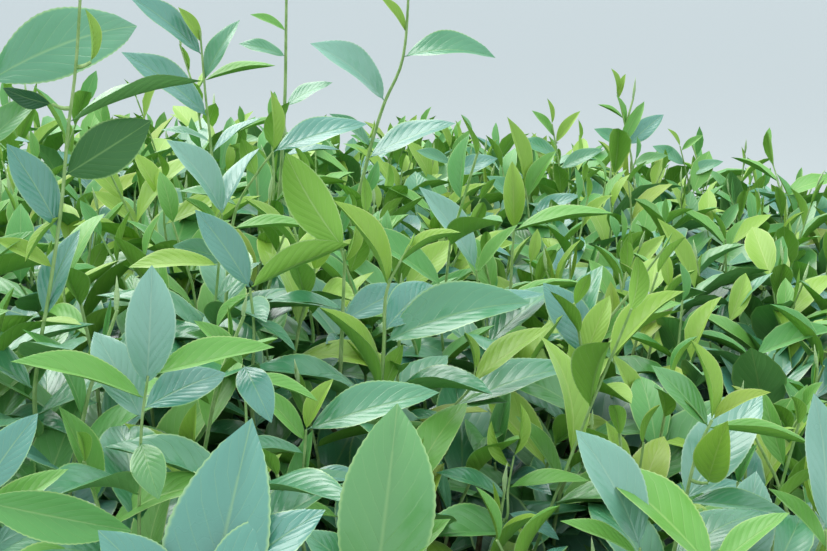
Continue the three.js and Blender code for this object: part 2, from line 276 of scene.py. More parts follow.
trunk_wood = shown("trunk_wood", trunk_mesh())
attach(trunk_wood, "root")
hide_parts("trunk")

# Boughs. Five spread from the knuckle, each carries two more, and one rises up the middle. Each ends at the
# edge of the crown's open middle, before the mass of foliage that it carries. They follow the source's paths.
# The crown's outline is widest at its waist, nearly flat on its table, and round below down to its skirt.
half_length = 0.92
half_width = 0.75
waist = 0.40
table = 0.87
skirt = 0.11
shoulder = 3.8
underside_round = 2.2
fall = 0.06
hollow_share = 0.6
frame_boughs = 5
turn_between_boughs = 2 * math.pi / frame_boughs
main_bough = (0.019, 0.009)
side_bough = (0.012, 0.007)
middle_bough = (0.017, 0.009)
bough_end = 0.040
bough_steps = 64
foot_swell = 0.22
swollen_share = 0.06
side_fork = (0.42, 0.026)
top_fork = (0.3, -0.020)
middle_mass_rise = 0.376
mass_share = 0.8
top_slope = 0.58
side_slope = 1.5
up = Vector((0, 0, 1))


def outward_share(p, open_below=False):
    """How far out a point lies: 0 at the crown's middle and 1 on its outline."""
    rise = p.z - waist
    tall = rise / (table - fall * p.x - waist) if rise > 0 else 0 if open_below else -rise / (waist - skirt)
    wide = math.hypot(p.x / half_length, p.y / half_width)
    n = shoulder if rise > 0 else underside_round
    return (wide**n + tall**n) ** (1 / n)


def outline_point(heading, slope, share=1):
    """The place on the outline at a heading round the crown, where slope runs from 0 on top to pi below."""
    wide = math.sin(slope)
    tall = math.cos(slope)
    n = shoulder if tall > 0 else underside_round
    size = share / (abs(wide) ** n + abs(tall) ** n) ** (1 / n)
    x = half_length * wide * size * math.cos(heading)
    y = half_width * wide * size * math.sin(heading)
    height = table - fall * x - waist if tall > 0 else waist - skirt
    return Vector((x, y, waist + tall * size * height))


def mass_places():
    """The masses: one over the middle, five round it on top, ten down the sides. One of rank 0 hangs on the
    main bough of the bearing that it is from, the others on its side bough (1) or top bough (2)."""
    over_middle = Vector((0, 0, waist + middle_mass_rise))
    places = [{"name": "foliage_top_middle", "centre": over_middle, "from": None, "rank": None}]
    for k in range(frame_boughs):
        centre = outline_point(turn_between_boughs * (k + 0.25), top_slope, mass_share)
        places.append({"name": f"foliage_top_{k + 1}", "centre": centre, "from": k, "rank": 2})
    for k in range(2 * frame_boughs):
        centre = outline_point(turn_between_boughs * k / 2, side_slope, mass_share)
        places.append({"name": f"foliage_side_{k + 1}", "centre": centre, "from": k // 2, "rank": k % 2})
    for mass in places:
        middle = Vector((0, 0, min(waist, mass["centre"].z)))
        out = mass["centre"] - middle
        mass["entry"] = middle + out * (hollow_share / outward_share(mass["centre"], True))
        mass["inward"] = out.normalized()
        mass["bough"] = {None: middle_bough, 0: main_bough}.get(mass["rank"], side_bough)
    return places


masses = mass_places()


def smooth_path(points, steps):
    """Places at equal steps along the curve that the source draws through the same points."""
    ends = [2 * points[0] - points[1], *points, 2 * points[-1] - points[-2]]
    fine_steps = 24
    fine = []
    for a, b, c, d in zip(ends, ends[1:], ends[2:], ends[3:]):
        ta, tb, tc = ((q - p).length ** 0.5 for p, q in ((a, b), (b, c), (c, d)))
        leave = ((b - a) / ta - (c - a) / (ta + tb) + (c - b) / tb) * tb
        arrive = ((c - b) / tb - (d - b) / (tb + tc) + (d - c) / tc) * tb
        for k in range(fine_steps):
            s = k / fine_steps
            fine.append(
                b * (2 * s**3 - 3 * s**2 + 1) + leave * (s**3 - 2 * s**2 + s)
                + c * (3 * s**2 - 2 * s**3) + arrive * (s**3 - s**2)
            )
    fine.append(points[-1].copy())
    lengths = [0.0]
    for p, q in zip(fine, fine[1:]):
        lengths.append(lengths[-1] + (q - p).length)
    path = []
    k = 0
    for step in range(steps + 1):
        wanted = lengths[-1] * step / steps
        while k < len(fine) - 2 and lengths[k + 1] < wanted:
            k += 1
        within = (wanted - lengths[k]) / max(1e-9, lengths[k + 1] - lengths[k])
        path.append(fine[k].lerp(fine[k + 1], min(1.0, within)))
    return path


def chance(seed):
    """The source's random numbers, the same on every run for a given seed."""
    state = [seed & 0xFFFFFFFF]

    def draw():
        state[0] = (state[0] * 1664525 + 1013904223) & 0xFFFFFFFF
        return state[0] / 4294967296

    return draw


def about(draw):
    """A number from -1 to 1."""
    return 2 * draw() - 1


def main_path(mass):
    """The points of the main bough to a mass, from the knuckle outwards."""
    draw = chance(70 + mass["from"])
    heading = turn_between_boughs * mass["from"]
    aside = Vector((-math.sin(heading), math.cos(heading), 0))

    def at(r, z):
        lean = Vector((trunk_top.x, trunk_top.y, 0)) * max(0, 1 - r / 0.3)
        return Vector((r * math.cos(heading), r * math.sin(heading), z)) + lean

    far = math.hypot(mass["entry"].x, mass["entry"].y)
    foot = trunk_fork_radius * 0.62
    return [
        at(foot, trunk_height - 0.042),
        at(foot + far * 0.17, trunk_height + 0.050),
        at(far * 0.46, trunk_height + 0.120) + aside * 0.016 * about(draw),
        at(far * 0.74, trunk_height + 0.205) + aside * 0.014 * about(draw),
    ]


def bough_paths():
    """The points of each mass's bough, from its foot to its tip."""
    ends = [[mass["entry"] - mass["inward"] * bough_end, mass["entry"].copy()] for mass in masses]
    mains = {mass["from"]: main_path(mass) + end for mass, end in zip(masses, ends) if mass["rank"] == 0}
    boughs = []
    for index, (mass, end) in enumerate(zip(masses, ends)):
        draw = chance(170 + index)
        if mass["rank"] == 0:
            boughs.append(mains[mass["from"]])
        elif mass["rank"] is None:
            rise = [
                trunk_top - up * 0.03,
                Vector((trunk_top.x * 0.6, 0.010, trunk_height + 0.130)),
                Vector((-0.010, -0.008, trunk_height + 0.330)),
            ]
            boughs.append(rise + end)
        else:
            start, lift = side_fork if mass["rank"] == 1 else top_fork
            root = smooth_path(mains[mass["from"]], 100)[round(start * 100)]
            away = end[0] - root
            second = root + away * 0.68 + Vector((about(draw), about(draw), 0)) * 0.018
            boughs.append([root, root + away * 0.3 + up * lift, second, *end])
    return boughs


def sweep_tree():
    """Draws a limb along each path of its mesh: a ring of points, as thick as the path says there, pushed out
    and in where bark is furrowed. The boughs, the twigs and the green stems all use it."""
    takes = {"Paths": "Geometry", "Sides": 6, "Relief": 0.0, "Relief scale": 40.0, "Seed": 0.0}
    takes["Covering"] = "Material"
    tree, given, result = node_group("limb_sweep", "GeometryNodeTree", takes, {"Limbs": "Geometry"})
    place = add_node(tree, "GeometryNodeInputPosition", {})
    long_grain = add_node(tree, "ShaderNodeVectorMath", {0: place, 1: (1, 1, 0.22)}, operation="MULTIPLY")
    seeded = {"W": given["Seed"]}
    grain = cloudy(tree, long_grain, given["Relief scale"], 4.0, 0.6, seeded, noise_dimensions="4D")
    height = worked_out(tree, "MULTIPLY", worked_out(tree, "SUBTRACT", grain, 0.5), given["Relief"])
    facing = add_node(tree, "GeometryNodeInputNormal", {})
    push = add_node(tree, "ShaderNodeVectorMath", {0: facing, "Scale": height}, operation="SCALE")
    limbs = add_node(tree, "GeometryNodeCurveToMesh", {
        "Curve": add_node(tree, "GeometryNodeMeshToCurve", {"Mesh": given["Paths"]}),
        "Profile Curve": add_node(tree, "GeometryNodeCurvePrimitiveCircle", {"Resolution": given["Sides"]}),
        "Scale": add_node(tree, "GeometryNodeInputNamedAttribute", {"Name": "girth"}, data_type="FLOAT"),
        "Fill Caps": True,
    })
    limbs = add_node(tree, "GeometryNodeSetPosition", {"Geometry": limbs, "Offset": push})
    limbs = add_node(tree, "GeometryNodeSetShadeSmooth", {"Geometry": limbs})
    limbs = add_node(tree, "GeometryNodeRealizeInstances", {"Geometry": limbs})
    limbs = add_node(tree, "GeometryNodeSetMaterial", {"Geometry": limbs, "Material": given["Covering"]})
    feed(result, {"Limbs": limbs})
    return tree


limb_sweep = sweep_tree()


def made_by_nodes(name, mesh, tree, values, nodes):
    """Runs a node tree on a mesh, keeps the result as a plain mesh, and tells the frame what it replaces."""
    holder = shown(name + "_paths", mesh)
    maker = holder.modifiers.new("maker", "NODES")
    maker.node_group = tree
    for item in tree.interface.items_tree:
        if item.in_out == "INPUT" and item.name in values:
            maker[item.identifier] = values[item.name]
    holder.update_tag()
    graph = bpy.context.evaluated_depsgraph_get()
    made = bpy.data.meshes.new_from_object(holder.evaluated_get(graph), depsgraph=graph)
    bpy.data.objects.remove(holder)
    made.name = name
    piece = shown(name, made)
    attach(piece, "root")
    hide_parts(*nodes)


def path_mesh(name, paths):
    """A mesh of edges from paths, each a list of (place, girth)."""
    points = [point for path in paths for point in path]
    edges = []
    start = 0
    for path in paths:
        edges += [(start + i, start + i + 1) for i in range(len(path) - 1)]
        start += len(path)
    mesh = bpy.data.meshes.new(name)
    mesh.from_pydata([place for place, _ in points], edges, [])
    mesh.attributes.new("girth", "FLOAT", "POINT").data.foreach_set("value", [girth for _, girth in points])
    return mesh


limbs = []
for mass, points in zip(masses, bough_paths()):
    thick, thin = mass["bough"]
    limb = []
    for i, place in enumerate(smooth_path(points, bough_steps)):
        share = i / bough_steps
        swell = 1 + foot_swell * math.exp(-((share / swollen_share) ** 2))
        limb.append((place, (thick + (thin - thick) * share**0.8) * swell))
    limbs.append(limb)
made_by_nodes(
    "boughs_wood",
    path_mesh("bough_paths", limbs),
    limb_sweep,
    {"Sides": 22, "Relief": 0.0045, "Relief scale": 95.0, "Seed": 3.0, "Covering": old_bark},
    [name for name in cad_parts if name.startswith("bough_")],
)

# Branches and twigs. Inside each mass a stem runs on from its bough's tip, forks into the branches of the
# source's shoots, and these fork again into the fine brown twigs that carry the leafy shoots.
stem_spacing = 0.244
stem_length = 0.168
cell_gap = 0.0015
mingling = 0.045
ground_clear = 0.025
upward_pull = 0.8
sway = 0.32
fine_reach = 1.12
twig_thick = 0.0013
twig_bark = wood("twig_bark", (0.075, 0.05, 0.028), (0.23, 0.2, 0.1), 260, 0.4, 0.12, 0.0006)


def growing_way(p, draw, stray_share=sway):
    """Which way a shoot with its tip at a point grows: outwards, turned up towards the light."""
    rise = p.z - waist
    n = shoulder if rise > 0 else underside_round
    height = table - waist if rise > 0 else waist - skirt
    sideways = math.hypot(p.x / half_length, p.y / half_width) ** (n - 2)
    z = math.copysign((abs(rise) / height) ** (n - 1), rise) / height
    facing = Vector((sideways * p.x / half_length**2, sideways * p.y / half_width**2, z)).normalized()
    stray = Vector((about(draw), about(draw), about(draw) / 2)) * stray_share
    return (facing + up * upward_pull + stray).normalized()


def shoot_tips(spacing, draw, first_slope=0, last_slope=128, share=1.0):
    """Shoot tips spread evenly over the outline, ring below ring, from one slope in degrees to another."""
    step = math.pi / 360
    mean_half = (half_length + half_width) / 2
    tips = []

    def profile(slope):
        p = outline_point(math.pi / 2, slope)
        return p.y / half_width * mean_half, p.z

    radius, height = profile(0)
    travelled = spacing / 2
    slope = step
    while slope < math.radians(last_slope):
        next_radius, next_height = profile(slope)
        travelled += math.hypot(next_radius - radius, next_height - height)
        radius, height = next_radius, next_height
        if travelled >= spacing:
            travelled -= spacing
            count = max(3, round(2 * math.pi * radius / spacing))
            start = draw()
            for i in range(count):
                heading = 2 * math.pi * (i + start + 0.3 * about(draw)) / count
                tilt = slope + 0.25 * about(draw) * (spacing / mean_half)
                if slope >= math.radians(first_slope):
                    tips.append(outline_point(heading, tilt, share))
        slope += step
    return tips


for mass in masses:
    others = [m["centre"] - mass["centre"] for m in masses if m is not mass]
    mass["planes"] = np.array([tuple(way.normalized()) for way in others])
    mass["reaches"] = np.array([way.normalized().dot(mass["centre"] + way / 2) - cell_gap for way in others])
    mass["stems"] = []


def room_at(mass, p):
    """How deep inside its mass's space a point lies. Neighbours mingle at their edges."""
    room = float((mass["reaches"] - mass["planes"] @ np.array(p)).min()) + mingling
    hollow = (outward_share(p, True) - hollow_share) * half_width
    return min(room, hollow, p.z - ground_clear)


def nearest_mass(p):
    """The mass whose middle is nearest to a point."""
    return min(masses, key=lambda mass: (mass["centre"] - p).length)


draw = chance(11)
for tip in shoot_tips(stem_spacing, draw):
    way = growing_way(tip, draw)
    base = tip - way * stem_length * (0.9 + 0.2 * draw())
    nearest_mass(tip)["stems"].append((base, tip))


def bent(start, end, bow, steps, thick, thin, upto=1.0):
    """A path from start to end, or up to a share of the way, that bows aside, as (place, girth)."""
    path = []
    for i in range(steps + 1):
        share = upto * i / steps
        place = start.lerp(end, share) + bow * (4 * share * (1 - share))
        path.append((place, thick + (thin - thick) * share))
    return path


# Leafy shoots. Every shoot is green, stands on a brown twig and carries its leaves in a spiral, old ones wide
# open at its foot and young ones closed round a silvery bud at its tip. This deals out where each one grows.
turn_between_leaves = math.radians(137.5)
table_spacing = 0.0445
side_spacing = 0.074
inner_spacing = 0.094
edge_of_table = 62
fine_sway = 0.5
closest_corner = Vector((-0.33, -0.48, 0.92))
fine_distance = 0.25
plain_distance = 0.6
plain_distance_of_old = 0.32
shape_draws = 60
# A spray's tone is drawn from four; a few sprays draw the fourth, which on grown leaves is a painted whitish
# sheen.
tone_draws = 3.3
least_room = 0.002
first_leaf = 0.12
last_leaf_above = 0.86
stem_bow = 0.08
shortest_twig = 0.004
twig_thickening = 0.007
groups = {}
for mass in masses:
    if mass["name"] in ("foliage_top_3", "foliage_top_4", "foliage_top_5", "foliage_top_middle"):
        mass["group"] = "near_table"
    elif mass["rank"] == 2:
        mass["group"] = "far_table"
    elif mass["centre"].y < -0.1 or mass["name"] == "foliage_side_6":
        mass["group"] = "near_side"
    else:
        mass["group"] = "far_side"
    group = groups.setdefault(mass["group"], {"nodes": [], "twigs": [], "stems": [], "leaves": {}})
    group["nodes"].append(mass["name"])


def astray(draw):
    """A stray way, up to 1 along each axis."""
    return Vector((about(draw), about(draw), about(draw)))


def add_leaf(mass, kind, detail, at, along, face, length, shape, tone):
    """Adds a leaf to its mass's group: along runs from its root to its tip, and face is where it looks."""
    leaves = groups[mass["group"]]["leaves"].setdefault((kind, detail), [])
    leaves.append((at, along, face, length, shape, tone))


def grow_leaf(mass, kind, at, along, face, length, tone, draw, reach):
    """Adds a leaf, unless it would leave its mass's space or the crown's reach, and says whether it did."""
    tip = at + along * length
    if room_at(mass, tip) < 0 or room_at(mass, at) < 0 or outward_share(tip) > reach:
        return False
    away = (at - closest_corner).length
    if kind == "old":
        detail = "plain" if away < plain_distance_of_old else "coarse"
    else:
        detail = "fine" if away < fine_distance else "plain" if away < plain_distance else "coarse"
    face = (face - along * face.dot(along)).normalized()
    add_leaf(mass, kind, detail, at, along, face, length, int(draw() * shape_draws), tone)
    return True


def grow_shoot(mass, base, tip, kinds, draw, reach=fine_reach, girth=0.0013):
    """A green stem and its leaves. kinds gives, from its foot up, (kind, length, angle off the stem)."""
    away = tip - base
    axis = away.normalized()
    aside = axis.cross(up if abs(axis.z) < 0.9 else Vector((1, 0, 0))).normalized()
    curl = Matrix.Rotation(draw() * 2 * math.pi, 3, axis) @ aside * away.length * stem_bow
    last_leaf = 0.0
    heading = draw() * 2 * math.pi
    tone = int(draw() * tone_draws)
    for i, (kind, length, lean) in enumerate(kinds):
        share = first_leaf + last_leaf_above * i / max(1, len(kinds) - 1)
        at = base.lerp(tip, share) + curl * (4 * share * (1 - share))
        out = Matrix.Rotation(heading, 3, axis) @ aside
        angle = math.radians(lean * (0.7 + 0.6 * draw()))
        along = (axis * math.cos(angle) + out * math.sin(angle) + up * 0.03).normalized()
        face = axis * 0.6 + up * 0.55 + astray(draw) * 0.42
        if kind in ("bud", "wrapped"):
            face = -out
        if grow_leaf(mass, kind, at, along, face, length * (0.84 + 0.32 * draw()), tone, draw, reach):
            last_leaf = share
        heading += turn_between_leaves * (0.94 + 0.12 * draw())
    if last_leaf:
        stem = bent(base, tip, curl, 4, girth, girth * 0.62, last_leaf + 0.01)
        groups[mass["group"]]["stems"].append(stem)


def hang_twig(mass, base, draw):
    """A brown twig to a shoot's foot. It starts on the straight line from the mass's middle to the end of its
    nearest branch, and the branch itself bows up to 2 cm off that line."""
    foot, _ = min(mass["stems"], key=lambda stem: (stem[0] - base).length)
    fork = mass["centre"].lerp(foot, 0.55 + 0.4 * draw())
    away = base - fork
    if away.length < shortest_twig:
        return
    bow = astray(draw) * away.length * 0.1
    twig = bent(fork, base, bow, 4, twig_thick + twig_thickening * away.length, twig_thick)
    groups[mass["group"]]["twigs"].append(twig)


mass_stem_gap = 0.00035
mass_stem_end = 0.005
branch_thick = 0.0046
branch_fork = 0.0028
branch_end = 0.0018
for index, mass in enumerate(masses):
    twigs = groups[mass["group"]]["twigs"]
    start = mass["entry"] + mass["inward"] * mass_stem_gap
    twigs.append(bent(start, mass["centre"], Vector(), 4, mass["bough"][1] * 0.92, mass_stem_end))
    draw = chance(500 + index)
    for base, tip in mass["stems"]:
        bow = astray(draw) * 0.012
        twigs.append(bent(mass["centre"], base, bow, 6, branch_thick, branch_fork))
        twigs.append(bent(base, base.lerp(tip, 0.4), bow * 0.3, 3, branch_fork, branch_end))

usual_rise = 0.022
rise_of_tallest = 0.06
tallest_at = (-0.42, -0.32)
tallest_within = 0.3
fresh_share = 0.55
long_share = 0.09
budding_share = 0.4


def rise_at(p):
    """How far fresh shoots stand above the table: furthest at the near left, plucked longest ago."""
    away = math.hypot(p.x - tallest_at[0], p.y - tallest_at[1])
    swell = noise.noise(Vector((p.x * 4.5, p.y * 4.5, 3.0)))
    return usual_rise + usual_rise * swell + rise_of_tallest * math.exp(-((away / tallest_within) ** 2))


def sized(big, *kinds):
    """Leaves made as big as their shoot says."""
    return [(kind, length * big, lean) for kind, length, lean in kinds]


def room_for_shoot(mass, base, tip):
    """Whether both ends of a shoot lie inside its mass's space."""
    return room_at(mass, tip) >= least_room and room_at(mass, base) >= least_room


draw = chance(21)
flush_tips = shoot_tips(table_spacing, draw, 0, edge_of_table)
flush_tips += shoot_tips(side_spacing, draw, edge_of_table, 132)
for tip in flush_tips:
    mass = nearest_mass(tip)
    way = growing_way(tip, draw, fine_sway)
    fresh = draw() < fresh_share
    long_shoot = fresh and draw() < long_share
    rise = rise_at(tip) * (2.4 if long_shoot else 0.3 + draw()) if fresh else 0.01 - 0.035 * draw()
    length = 0.085 + 0.045 * draw() + max(0.0, rise - 0.02)
    tip = tip + way * rise
    base = tip - way * length
    if not room_for_shoot(mass, base, tip):
        continue
    hang_twig(mass, base, draw)
    big = 0.76 + 0.34 * draw()
    if fresh:
        kinds = sized(big, ("grown", 0.08, 88), ("grown", 0.076, 84)) if rise > 0.06 else []
        kinds += sized(big, ("grown", 0.078, 86), ("grown", 0.075, 80), ("young", 0.068, 70))
        kinds += sized(big, ("young", 0.06, 58), ("young", 0.046, 38))
        if draw() < budding_share:
            kinds += sized(big, ("wrapped", 0.028, 14), ("bud", 0.018, 5))
        else:
            kinds += sized(big, ("young", 0.03, 20))
    else:
        kinds = sized(big, ("old", 0.082, 90), ("grown", 0.086, 84), ("grown", 0.082, 76))
        kinds += sized(big, ("grown", 0.076, 68), ("young", 0.06, 52))
    grow_shoot(mass, base, tip, kinds, draw, max(fine_reach, outward_share(tip) + 0.1))

draw = chance(31)
inner_shells = (
    (0.93, 1.0, 0, 66), (0.84, 1.2, 0, 124), (0.88, 1.1, 0, 64),
    (0.77, 1.3, 0, 80), (0.9, 1.15, 66, 128), (0.8, 1.2, 88, 132),
)
inner_tips = []
for share, wider, first_slope, last_slope in inner_shells:
    inner_tips += shoot_tips(inner_spacing * wider, draw, first_slope, last_slope, share)
inner_kinds = [("old", 0.082, 84), ("old", 0.082, 76), ("old", 0.080, 70), ("old", 0.078, 62)]
inner_kinds += [("grown", 0.074, 54)]
for tip in inner_tips:
    mass = nearest_mass(tip)
    base = tip - growing_way(tip, draw) * 0.11
    if room_for_shoot(mass, base, tip):
        hang_twig(mass, base, draw)
        grow_shoot(mass, base, tip, inner_kinds, draw, girth=0.0016)
